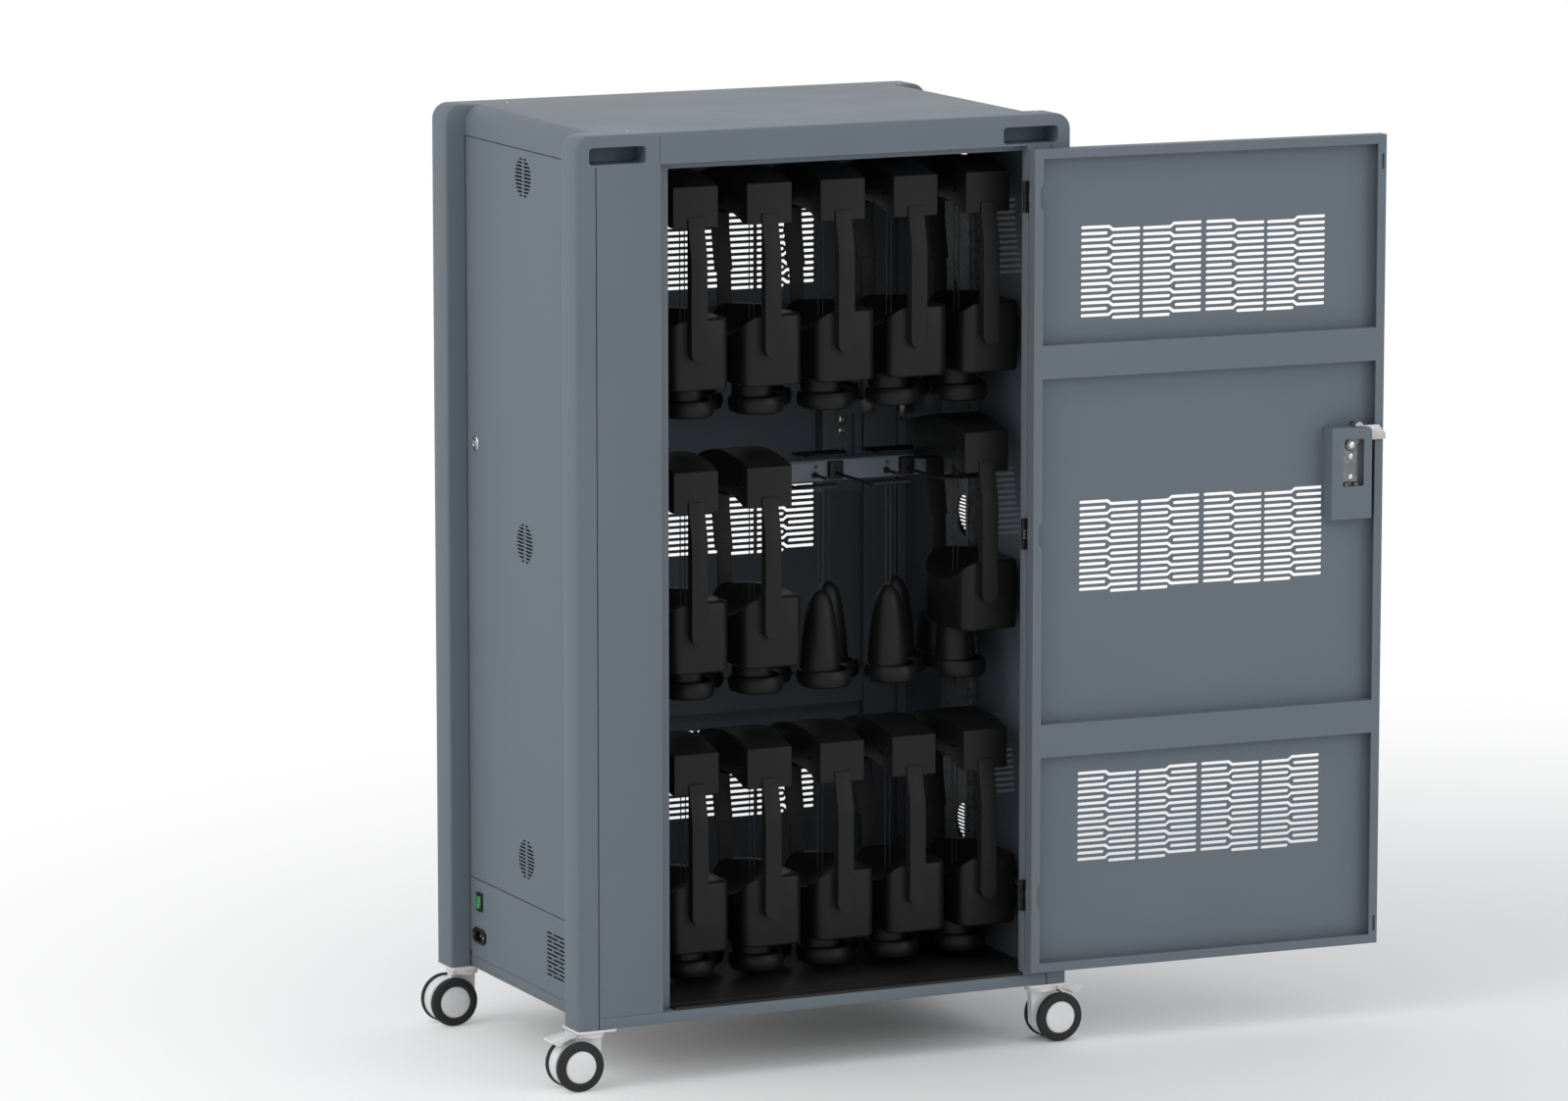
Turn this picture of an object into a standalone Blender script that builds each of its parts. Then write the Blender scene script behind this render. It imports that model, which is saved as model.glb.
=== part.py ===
"""Charging cart: a steel cabinet on casters with hanger rails for headsets, in metres, +Z up.

The cart is modelled about its own plan centre, front towards -Y, and then moved so that the
origin is on the floor under the middle of its box with the front door swung open.
"""
import math

import bmesh
import bpy
from mathutils import Matrix, Vector

# Cabinet, measured in the photograph against a total width of 0.8 m
WIDTH = 0.800               # over the corner posts
DEPTH = 0.542
POST_WIDTH, POST_DEPTH = 0.033, 0.055
BODY_WIDTH = WIDTH - 2 * POST_WIDTH     # over the side panels
HALF = BODY_WIDTH / 2
HALF_DEPTH = DEPTH / 2
POST_Y = HALF_DEPTH - POST_DEPTH
SILL_Z = 0.092              # underside of the base and the posts
SILL_TOP = 0.1095           # top of the base's rim, under the face frames
FLOOR_Z = 0.114             # inside floor
FLOOR_INSET = 0.018         # floor sheet inside the rim
PANEL_Z = 0.111             # bottom of the side panels
PANEL_SEAM_Z = 0.231        # between lower panel and service panel
TOP_Z = 1.407
COVER_H = 0.0455
COVER_Z = TOP_Z - COVER_H   # underside of the top cover
SHEET = 0.003
POST_EDGE = 0.006           # radius of the posts' upright edges
COVER_EDGE = 0.008          # radius of the cover's front and rear edges
COVER_SIDE = 0.024          # radius of its side edges
PANEL_RETURN = 0.014        # folded edge of a service panel

# Fits
GAP = 0.0003                # between pieces that touch
PANEL_GAP = 0.0005          # round a panel that swings
HINGE_GAP = 0.0004          # between hinge knuckles, and round the pin

# Door opening in the face frames
FASCIA, JAMB = 0.102, 0.038     # uprights left and right of the front opening
OPEN_LEFT = -HALF + FASCIA
OPEN_RIGHT = HALF - JAMB
LEDGE_TOP = 0.0095          # stop ledge inside the opening: above the door,
LEDGE_FREE = 0.0205         # at its free edge
LEDGE_HINGE = 0.001         # and at its hinges
LEDGE_SHEET = 0.003
JAMB_WALL = 0.004

# Doors: shallow pans with a lip folded back all round
DOOR_DEPTH = 0.022
DOOR_SHEET = 0.0025
DOOR_LIP = 0.014
DOOR_FREE_GAP = 0.003       # free edge to opening
DOOR_HINGE_GAP = 0.0115     # hinge edge to opening
DOOR_FOOT_GAP = 0.0076      # above the sill
DOOR_HEAD_GAP = 0.004       # below the cover
DOOR_WIDTH = OPEN_RIGHT - DOOR_HINGE_GAP - OPEN_LEFT - DOOR_FREE_GAP
DOOR_Z0 = SILL_TOP + DOOR_FOOT_GAP
DOOR_Z1 = COVER_Z - DOOR_HEAD_GAP
DOOR_H = DOOR_Z1 - DOOR_Z0
DOOR_OPEN = 177.35          # degrees, front door as photographed
HINGE_OUT = 0.0021          # hinge axis in front of the door's face
HINGE_IN = 0.0055           # hinge axis beyond the door's edge
HINGE_R = 0.0035
PIN_R = 0.0015
HINGE_LENGTH = 0.047
HINGE_ZS = (DOOR_Z0 + 0.94236 * DOOR_H, DOOR_Z0 + 0.53563 * DOOR_H, DOOR_Z0 + 0.09344 * DOOR_H)
STIFFENER_H = 0.050
STIFFENER_ZS = (DOOR_Z0 + 0.74452 * DOOR_H, DOOR_Z0 + 0.28434 * DOOR_H)
VENT_ZS = (DOOR_Z0 + 0.84723 * DOOR_H, DOOR_Z0 + 0.51508 * DOOR_H, DOOR_Z0 + 0.18333 * DOOR_H)
VENT_U = (0.084, DOOR_WIDTH - 0.0915)   # from the hinge edge
VENT_H = 0.134
VENT_ROWS = 6
VENT_SLOT = 0.006

# Door lock: box on the inside, hooked latch on a spindle, lever outside
LOCK_FOOT = DOOR_Z0 + 0.52798 * DOOR_H
LOCK_U = (DOOR_WIDTH - 0.0909, DOOR_WIDTH - 0.0235)
LOCK_Z = (LOCK_FOOT, LOCK_FOOT + 0.140)
LOCK_PROUD = 0.030
LOCK_WINDOW = 0.039
LOCK_WINDOW_Z = (LOCK_FOOT + 0.048, LOCK_FOOT + 0.1245)
SPINDLE_U = DOOR_WIDTH - 0.0435
SPINDLE_Z = LOCK_FOOT + 0.1455
SPINDLE_R = 0.004
LATCH_Z = (LOCK_FOOT + 0.117, LOCK_FOOT + 0.1485)
LATCH_PAST_EDGE = 0.0012
LEVER_LENGTH = 0.105

# Side panels
PANEL_H = COVER_Z - PANEL_SEAM_Z
SIDE_VENT_ZS = (COVER_Z - 0.042, PANEL_SEAM_Z + 0.48032 * PANEL_H, PANEL_SEAM_Z + 0.0655)
SIDE_VENT_R = 0.030
LOCK_Y = POST_Y - 0.0284
SIDE_LOCK_Z = PANEL_SEAM_Z + 0.59133 * PANEL_H
SIDE_LOCK_R = 0.0115
LOCK_RIM = 0.002            # lock's face beyond its barrel
SWITCH_Y, SWITCH_Z = POST_Y - 0.036, PANEL_Z + 0.087
SWITCH_W, SWITCH_H = 0.022, 0.028
ROCKER_TILT = 10.0          # degrees either way
INLET_Y, INLET_Z = POST_Y - 0.035, PANEL_Z + 0.034
GRILLE_Y, GRILLE_Z = -POST_Y + 0.046, PANEL_Z + 0.059   # front end and middle height
GRILLE_RUN, GRILLE_BAR = 0.044, 0.006
INLET_W, INLET_H = 0.050, 0.026

# Inside: uprights, hanger rails, hangers and stored headsets
UPRIGHT_Y = 0.045
UPRIGHT_X = HALF - 0.0225
RAIL_DEPTH = 0.040
RAIL_H = 0.031
INSIDE_H = COVER_Z - FLOOR_Z
ROW_TOPS = (FLOOR_Z + 0.96601 * INSIDE_H, FLOOR_Z + 0.62942 * INSIDE_H, FLOOR_Z + 0.29234 * INSIDE_H)
RAIL_DROP = 0.028                   # rail top below a row's near top edge
COLUMN_LEFT = -UPRIGHT_X + 0.1595   # first and last of the five columns
COLUMN_RIGHT = UPRIGHT_X - 0.0535
COLUMN_X = (COLUMN_LEFT + COLUMN_RIGHT) / 2
COLUMN_PITCH = (COLUMN_RIGHT - COLUMN_LEFT) / 4
SET_NEAR = -HALF_DEPTH + 0.056      # headsets, front to back
SET_FAR = -RAIL_DEPTH / 2 - 0.020
HANGER_Y = (SET_NEAR + SET_FAR) / 2
HANGER_REAR_Y = HALF_DEPTH - 0.151
HANGER_PLATE = (0.065, 0.026, 0.004)
HANGER_REAR_WIDTH = 0.085
HANGER_WIRE = 0.006
HANGER_ASIDE = 0.040
PEG_X, PEG_REACH = 0.046, 0.046     # second hook of a station with no headset
EMPTY_STATIONS = ((1, 2), (1, 3))   # row, column with no headset
RAISED_STATION = (1, 4)             # a headset that hangs higher than its row
RAISED_BY = 0.030
PACK_WIDTH, PACK_HEIGHT, PACK_ARCH = 0.073, 0.060, 0.015
PACK_SEAT = 0.25                    # share of the arch underneath that is flat, on the hanger plate
STRAP_WIDTH, STRAP_PROUD, STRAP_END = 0.026, 0.014, 0.2555
STRAP_SUNK = 0.0015                 # into the pack and the visor
VISOR_WIDTH, VISOR_HEIGHT, VISOR_DROP, VISOR_R = 0.097, 0.105, 0.1955, 0.040
VISOR_WALL = 0.010

# Hand slots in the cover's ears
HAND_SLOT = (WIDTH / 2 - 0.1115, WIDTH / 2 - 0.0215)
HAND_SLOT_Z = (COVER_Z + 0.004, TOP_Z - 0.0135)
HAND_SLOT_DEEP = 0.022

# Casters
CASTER_X, CASTER_Y = HALF + 0.003, HALF_DEPTH - 0.031
PLATE_SIZE, PLATE_THICK = 0.064, 0.003
CASTER_PAD = 0.020          # solid base left round a caster plate
TRAIL = 0.024
WHEEL_R = 0.0375
TYRE_WIDTH, WHEEL_PITCH = 0.017, 0.036
AXLE_R = 0.004
AXLE_GAP = 0.0004
CROWN_R = 0.022
HOOD_R = 0.035              # web between the twin wheels
PEDAL_REACH = 0.085


def clear_scene():
    for old in list(bpy.data.objects):
        bpy.data.objects.remove(old, do_unlink=True)


def make_collection(name):
    made = bpy.data.collections.new(name)
    bpy.context.scene.collection.children.link(made)
    return made


def make_material(name, colour, metallic=0.0, roughness=0.5):
    made = bpy.data.materials.new(name)
    made.use_nodes = True
    shader = made.node_tree.nodes["Principled BSDF"]
    shader.inputs["Base Color"].default_value = (*colour, 1.0)
    shader.inputs["Metallic"].default_value = metallic
    shader.inputs["Roughness"].default_value = roughness
    return made


clear_scene()
parts = make_collection("charging_cart")
cutters = make_collection("charging_cart_cutters")
PAINT = make_material("slate_paint", (0.155, 0.18, 0.205), 0.0, 0.45)
ZINC = make_material("zinc_sheet", (0.42, 0.44, 0.45), 0.9, 0.45)
NICKEL = make_material("nickel", (0.62, 0.60, 0.56), 1.0, 0.28)
BLACK = make_material("black_plastic", (0.018, 0.018, 0.019), 0.0, 0.45)
SHELL = make_material("headset_shell", (0.022, 0.022, 0.023), 0.0, 0.5)
GREEN = make_material("switch_green", (0.03, 0.35, 0.06), 0.0, 0.35)
WHITE = make_material("caster_white", (0.78, 0.79, 0.79), 0.0, 0.4)
TYRE = make_material("wheel_black", (0.02, 0.02, 0.021), 0.0, 0.6)


def keep(name, shape, material, tool=False):
    """Make an object of a bmesh: a part, or a tool in the cutters' collection."""
    bmesh.ops.recalc_face_normals(shape, faces=shape.faces[:])
    mesh = bpy.data.meshes.new(name)
    shape.to_mesh(mesh)
    shape.free()
    made = bpy.data.objects.new(name, mesh)
    (cutters if tool else parts).objects.link(made)
    if material:
        mesh.materials.append(material)
    if tool:
        made.hide_render = True
        made.display_type = "WIRE"
    return made


def add_box(shape, lo, hi):
    size = Vector(hi) - Vector(lo)
    middle = (Vector(hi) + Vector(lo)) / 2
    bmesh.ops.create_cube(shape, size=1.0, matrix=Matrix.Translation(middle) @ Matrix.Diagonal((*size,
                          1.0)))


def add_cylinder(shape, centre, axis, radius, length, sides=20):
    turn = Vector((0, 0, 1)).rotation_difference(Vector(axis)).to_matrix().to_4x4()
    bmesh.ops.create_cone(shape, cap_ends=True, segments=sides, radius1=radius, radius2=radius,
                          depth=length, matrix=Matrix.Translation(centre) @ turn)


def box(name, lo, hi, material=None, tool=False):
    shape = bmesh.new()
    add_box(shape, lo, hi)
    return keep(name, shape, material, tool)


def boxes(name, spans, material=None, tool=True):
    """Several separate boxes in one object, as a tool that cuts many slots at once."""
    shape = bmesh.new()
    for lo, hi in spans:
        add_box(shape, lo, hi)
    return keep(name, shape, material, tool)


def cylinder(name, centre, axis, radius, length, sides=20, material=None, tool=False):
    shape = bmesh.new()
    add_cylinder(shape, centre, axis, radius, length, sides)
    return keep(name, shape, material, tool)


def prism(name, outline, axis, lo, hi, material=None, tool=False):
    """Extrude an outline: along X it holds (y, z), along Z it holds (x, y)."""
    shape = bmesh.new()
    if axis == "X":
        ring = [shape.verts.new((lo, a, b)) for a, b in outline]
        step = Vector((hi - lo, 0, 0))
    else:
        ring = [shape.verts.new((a, b, lo)) for a, b in outline]
        step = Vector((0, 0, hi - lo))
    face = shape.faces.new(ring)
    grown = bmesh.ops.extrude_face_region(shape, geom=[face])
    bmesh.ops.translate(shape, verts=[v for v in grown["geom"] if isinstance(v, bmesh.types.BMVert)],
                        vec=step)
    return keep(name, shape, material, tool)


def combine(target, tools, operation):
    for tool in tools:
        step = target.modifiers.new(tool.name, "BOOLEAN")
        step.operation = operation
        step.solver = "EXACT"
        step.object = tool
    return target


def cut(target, *tools):
    return combine(target, tools, "DIFFERENCE")


def weld(target, *tools):
    return combine(target, tools, "UNION")


def round_edges(target, radius, segments, pick):
    """Bevel the edges that pick chooses from their two end points."""
    shape = bmesh.new()
    shape.from_mesh(target.data)
    chosen = [e for e in shape.edges if pick(e.verts[0].co, e.verts[1].co)]
    bmesh.ops.bevel(shape, geom=chosen, offset=radius, segments=segments, profile=0.5, affect="EDGES")
    shape.to_mesh(target.data)
    shape.free()
    return target


def pivot(name, place, children, angle=0.0, axis="Z"):
    """Hang objects on an empty at a joint's axis, then turn it to the rest pose."""
    made = bpy.data.objects.new(name, None)
    made.location = place
    made.empty_display_size = 0.03
    parts.objects.link(made)
    for child in children:
        child.parent = made
        child.matrix_parent_inverse = Matrix.Translation(place).inverted()
    made.rotation_euler["XYZ".index(axis)] = math.radians(angle)
    return made


def upright(a, b):
    return abs(a.x - b.x) < 1e-6 and abs(a.y - b.y) < 1e-6


def build_base():
    """Base pan: a rim with a raised floor sheet, hollow below except where the casters bolt on."""
    base = box("base_pan", (-HALF + GAP, -HALF_DEPTH, SILL_Z), (HALF - GAP, HALF_DEPTH, SILL_TOP - GAP),
               PAINT)
    inset = DOOR_DEPTH + LEDGE_SHEET + 0.002
    floor = box("base_floor", (-HALF + FLOOR_INSET, -HALF_DEPTH + inset, SILL_TOP - 2 * SHEET),
                (HALF - FLOOR_INSET, HALF_DEPTH - inset, FLOOR_Z), None, True)
    seat_x = CASTER_X - PLATE_SIZE / 2 - CASTER_PAD
    seat_y = CASTER_Y - PLATE_SIZE / 2 - CASTER_PAD
    under = box("base_under", (-seat_x, -HALF_DEPTH + SHEET, SILL_Z - 0.01),
                (seat_x, HALF_DEPTH - SHEET, SILL_TOP - SHEET), None, True)
    sides = box("base_under_sides", (-HALF + SHEET, -seat_y, SILL_Z - 0.01),
                (HALF - SHEET, seat_y, SILL_TOP - SHEET), None, True)
    weld(base, floor)
    return cut(base, under, sides)


def build_posts():
    for side, x in (("left", -1), ("right", 1)):
        for end, y in (("front", -1), ("rear", 1)):
            xs = sorted((x * (HALF + GAP), x * WIDTH / 2))
            ys = sorted((y * POST_Y, y * HALF_DEPTH))
            post = box("post_%s_%s" % (end, side), (xs[0], ys[0], SILL_Z), (xs[1], ys[1], COVER_Z - GAP),
                       PAINT)
            round_edges(post, POST_EDGE, 3,
                        lambda a, b: upright(a, b) and abs(a.x) > HALF + 0.01)
            hollow = box("post_hollow_%s_%s" % (end, side),
                         (xs[0] + SHEET, ys[0] + SHEET, SILL_Z + SHEET),
                         (xs[1] - SHEET, ys[1] - SHEET, COVER_Z + 0.01), None, True)
            cut(post, hollow)


def build_cover():
    """Top cover: a shallow lid whose ears carry the hand slots and run on from the posts."""
    ear, deep = WIDTH / 2, HALF_DEPTH

    def along_y(a, b):
        return abs(a.x - b.x) < 1e-6 and min(a.z, b.z) > TOP_Z - 1e-6

    cover = box("top_cover", (-HALF, -deep + 0.02, COVER_Z), (HALF, deep - 0.02, TOP_Z), PAINT)
    round_edges(cover, COVER_SIDE, 4, along_y)
    for end, y in (("front", -1), ("rear", 1)):
        ys = sorted((y * POST_Y, y * deep))
        bar = box("cover_bar_" + end, (-ear, ys[0], COVER_Z), (ear, ys[1], TOP_Z), None, True)
        round_edges(bar, COVER_SIDE, 4, along_y)
        round_edges(bar, COVER_EDGE, 2,
                    lambda a, b: abs(a.y - y * deep) < 1e-6 and abs(b.y - y * deep) < 1e-6
                    and max(a.z, b.z) > COVER_Z + 1e-6)
        weld(cover, bar)
    rim = COVER_SIDE * 0.6
    lane = box("cover_lane", (-HAND_SLOT[0] + 0.010, -deep + COVER_EDGE + SHEET, COVER_Z - 0.01),
               (HAND_SLOT[0] - 0.010, deep - COVER_EDGE - SHEET, TOP_Z - SHEET), None, True)
    cross = box("cover_cross", (-HALF + rim, -POST_Y + 0.011, COVER_Z - 0.01),
                (HALF - rim, POST_Y - 0.011, TOP_Z - 2 * SHEET), None, True)
    slots = []
    for x in (-1, 1):
        for y in (-1, 1):
            xs = sorted((x * HAND_SLOT[0], x * HAND_SLOT[1]))
            ys = sorted((y * (deep - HAND_SLOT_DEEP), y * (deep + 0.01)))
            slots.append(((xs[0], ys[0], HAND_SLOT_Z[0]), (xs[1], ys[1], HAND_SLOT_Z[1])))
    hands = boxes("hand_slots", slots)
    round_edges(hands, 0.006, 3, lambda a, b: abs(a.x - b.x) < 1e-6 and abs(a.z - b.z) < 1e-6)
    return cut(cover, lane, cross, hands)


def build_frame(name, front, strike_left):
    """Face frame: two uprights either side of the doorway, joined by the stop ledge behind the door."""
    y = -1 if front else 1

    def span(x0, x1, out, back, z0, z1):
        ys = sorted((y * out, y * back))
        return (x0, ys[0], z0), (x1, ys[1], z1)

    z0, z1 = SILL_TOP, COVER_Z - GAP
    face, back = HALF_DEPTH, HALF_DEPTH - DOOR_DEPTH - GAP
    ledge = back - LEDGE_SHEET
    frame = box(name, *span(-HALF + GAP, HALF - GAP, back, ledge, z0, z1), PAINT)
    shown_left, shown_right = (LEDGE_FREE, LEDGE_HINGE) if strike_left else (LEDGE_HINGE, LEDGE_FREE)
    doorway = box(name + "_doorway", *span(OPEN_LEFT + shown_left, OPEN_RIGHT - shown_right, back + 0.01,
                                           ledge - 0.01, z0 - 0.01, z1 - LEDGE_TOP), None, True)
    left = box(name + "_left", *span(-HALF + GAP, OPEN_LEFT, face, back - 0.001, z0, z1), None, True)
    right = box(name + "_right", *span(OPEN_RIGHT, HALF - GAP, face, back - 0.001, z0, z1), None, True)
    pocket = boxes(name + "_pockets", [
        span(-HALF + SHEET, OPEN_LEFT - JAMB_WALL, face - SHEET, ledge - 0.01, z0 + 0.02, z1 - 0.02),
        span(OPEN_RIGHT + JAMB_WALL, HALF - SHEET, face - SHEET, ledge - 0.01, z0 + 0.02, z1 - 0.02)])
    strike_x = (OPEN_LEFT, OPEN_LEFT + LEDGE_FREE + 0.01)
    if not strike_left:
        strike_x = (OPEN_RIGHT - LEDGE_FREE - 0.01, OPEN_RIGHT)
    strike = box(name + "_strike", *span(*strike_x, back + 0.001, ledge - 0.01,
                                         LATCH_Z[0] - 0.003, LATCH_Z[1] + 0.003), None, True)
    cut(frame, doorway)
    weld(frame, left, right)
    return cut(frame, pocket, strike)


def slot_field(y0, y1, z_mid, height, rows, slot, x_lo, x_hi):
    """Slots of a side panel, as box spans that run through it along X."""
    pitch = (height - slot) / (rows - 1)
    spans = []
    for row in range(rows):
        z = z_mid - height / 2 + row * pitch
        spans.append(((x_lo, y0, z), (x_hi, y1, z + slot)))
    return spans


def build_side(name, x):
    """One side: a lower panel that stays and a service panel that swings on its front edge."""
    out, inner = x * (HALF - GAP), x * (HALF - GAP - SHEET)
    fold = x * (HALF - GAP - PANEL_RETURN)
    past = (min(out, fold) - 0.01, max(out, fold) + 0.01)
    edge = POST_Y - PANEL_GAP

    lower = box(name + "_lower_panel", (min(out, inner), -edge, PANEL_Z),
                (max(out, inner), edge, PANEL_SEAM_Z - GAP), PAINT)
    if x < 0:
        spans = []
        for start in (GRILLE_Y, GRILLE_Y + GRILLE_RUN + GRILLE_BAR):
            spans += slot_field(start, start + GRILLE_RUN, GRILLE_Z, 0.066, 6, 0.005, *past)
        cut(lower, boxes(name + "_grille", spans))

    panel = box(name + "_service_panel", (min(out, fold), -edge, PANEL_SEAM_Z + PANEL_GAP),
                (max(out, fold), edge, COVER_Z - PANEL_GAP), PAINT)
    hollow_x = sorted((inner, fold - x * 0.01))
    hollow = box(name + "_service_hollow", (hollow_x[0], -edge + SHEET, PANEL_SEAM_Z + SHEET),
                 (hollow_x[1], edge - SHEET, COVER_Z - SHEET), None, True)
    spans = []
    for z in SIDE_VENT_ZS:
        for side in (-1, 1):
            for row in range(4):
                rise = (row - 1.5) * 0.0135
                reach = math.sqrt(SIDE_VENT_R ** 2 - (abs(rise) + 0.003) ** 2)
                ys = sorted((side * 0.003, side * reach))
                spans.append(((past[0], ys[0], z + rise - 0.003), (past[1], ys[1], z + rise + 0.003)))
    vents = boxes(name + "_round_vents", spans)
    keyhole = cylinder(name + "_keyhole", (out, LOCK_Y, SIDE_LOCK_Z), (1, 0, 0),
                       SIDE_LOCK_R - LOCK_RIM + HINGE_GAP, 0.06, 24, tool=True)
    cut(panel, hollow, vents, keyhole)

    barrel = cylinder(name + "_panel_lock", (out + x * (GAP + 0.00075), LOCK_Y, SIDE_LOCK_Z), (1, 0, 0),
                      SIDE_LOCK_R, 0.0015, 16, NICKEL)
    body = cylinder(name + "_lock_body", (out - x * 0.010, LOCK_Y, SIDE_LOCK_Z), (1, 0, 0),
                    SIDE_LOCK_R - LOCK_RIM, 0.0225, 24, tool=True)
    cam_x = sorted((out - x * 0.0205, out - x * 0.0175))
    cam = box(name + "_lock_cam", (cam_x[0], LOCK_Y - 0.007, SIDE_LOCK_Z - 0.007),
              (cam_x[1], LOCK_Y + 0.007, SIDE_LOCK_Z + 0.024), None, True)
    weld(barrel, body, cam)
    pivot(name + "_panel_lock_turn", (out, LOCK_Y, SIDE_LOCK_Z), [barrel, body, cam])
    hinge_z = (PANEL_SEAM_Z + COVER_Z) / 2
    pivot(name + "_panel_hinge", (x * (HALF - GAP), -edge, hinge_z), [panel, hollow, vents, keyhole])
    return lower


def build_power(lower):
    """Rocker switch and mains inlet on the left lower panel."""
    out = -(HALF - GAP)
    hole = box("switch_hole", (out - 0.01, SWITCH_Y - SWITCH_W / 2 + 0.002,
               SWITCH_Z - SWITCH_H / 2 + 0.002),
               (out + 0.02, SWITCH_Y + SWITCH_W / 2 - 0.002, SWITCH_Z + SWITCH_H / 2 - 0.002), None, True)
    mouth = box("inlet_hole", (out - 0.01, INLET_Y - 0.0145, INLET_Z - 0.0105),
                (out + 0.02, INLET_Y + 0.0145, INLET_Z + 0.0105), None, True)
    cut(lower, hole, mouth)

    bezel = box("switch_bezel", (out - GAP - 0.0022, SWITCH_Y - SWITCH_W / 2, SWITCH_Z - SWITCH_H / 2),
                (out - GAP, SWITCH_Y + SWITCH_W / 2, SWITCH_Z + SWITCH_H / 2), BLACK)
    can = box("switch_can", (out - GAP - 0.001, SWITCH_Y - SWITCH_W / 2 + 0.0023,
              SWITCH_Z - SWITCH_H / 2 + 0.0023),
              (out + 0.022, SWITCH_Y + SWITCH_W / 2 - 0.0023, SWITCH_Z + SWITCH_H / 2 - 0.0023), None, True)
    well = box("switch_well", (out - 0.01, SWITCH_Y - SWITCH_W / 2 + 0.0037,
               SWITCH_Z - SWITCH_H / 2 + 0.0037),
               (out + 0.0105, SWITCH_Y + SWITCH_W / 2 - 0.0037, SWITCH_Z + SWITCH_H / 2 - 0.0037), None, True)
    weld(bezel, can)
    cut(bezel, well)

    half, tip = SWITCH_H / 2 - 0.0048, math.radians(ROCKER_TILT)
    front = -0.0036
    outline = [(front, 0.0), (front - half * math.tan(tip), half), (0.003, half), (0.005, 0.0), (0.003,
                -half),
               (front - half * math.tan(tip), -half)]
    shape = bmesh.new()
    width = SWITCH_W / 2 - 0.0041
    ring = [shape.verts.new((out + a, SWITCH_Y - width, SWITCH_Z + b)) for a, b in outline]
    grown = bmesh.ops.extrude_face_region(shape, geom=[shape.faces.new(ring)])
    bmesh.ops.translate(shape, verts=[v for v in grown["geom"] if isinstance(v, bmesh.types.BMVert)],
                        vec=(0, 2 * width, 0))
    rocker = keep("switch_rocker", shape, GREEN)
    pivot("switch_rocker_tilt", (out, SWITCH_Y, SWITCH_Z), [rocker], ROCKER_TILT * 0.6, "Y")

    inlet = box("power_inlet", (out - GAP - 0.003, INLET_Y - INLET_W / 2, INLET_Z - INLET_H / 2),
                (out - GAP, INLET_Y + INLET_W / 2, INLET_Z + INLET_H / 2), BLACK)
    round_edges(inlet, 0.005, 3, lambda a, b: abs(a.y - b.y) < 1e-6 and abs(a.z - b.z) < 1e-6)
    shell = box("inlet_shell", (out - GAP - 0.001, INLET_Y - 0.0142, INLET_Z - 0.0102),
                (out + 0.028, INLET_Y + 0.0142, INLET_Z + 0.0102), None, True)
    socket = box("inlet_socket", (out - 0.01, INLET_Y - 0.012, INLET_Z - 0.008),
                 (out + 0.018, INLET_Y + 0.012, INLET_Z + 0.008), None, True)
    blades = boxes("inlet_blades", [((out + 0.003, INLET_Y + dy - 0.001, INLET_Z + dz - 0.002),
                                     (out + 0.020, INLET_Y + dy + 0.001, INLET_Z + dz + 0.002))
                                    for dy, dz in ((-0.007, -0.002), (0.0, 0.002), (0.007, -0.002))])
    weld(inlet, shell)
    cut(inlet, socket)
    weld(inlet, blades)


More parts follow.
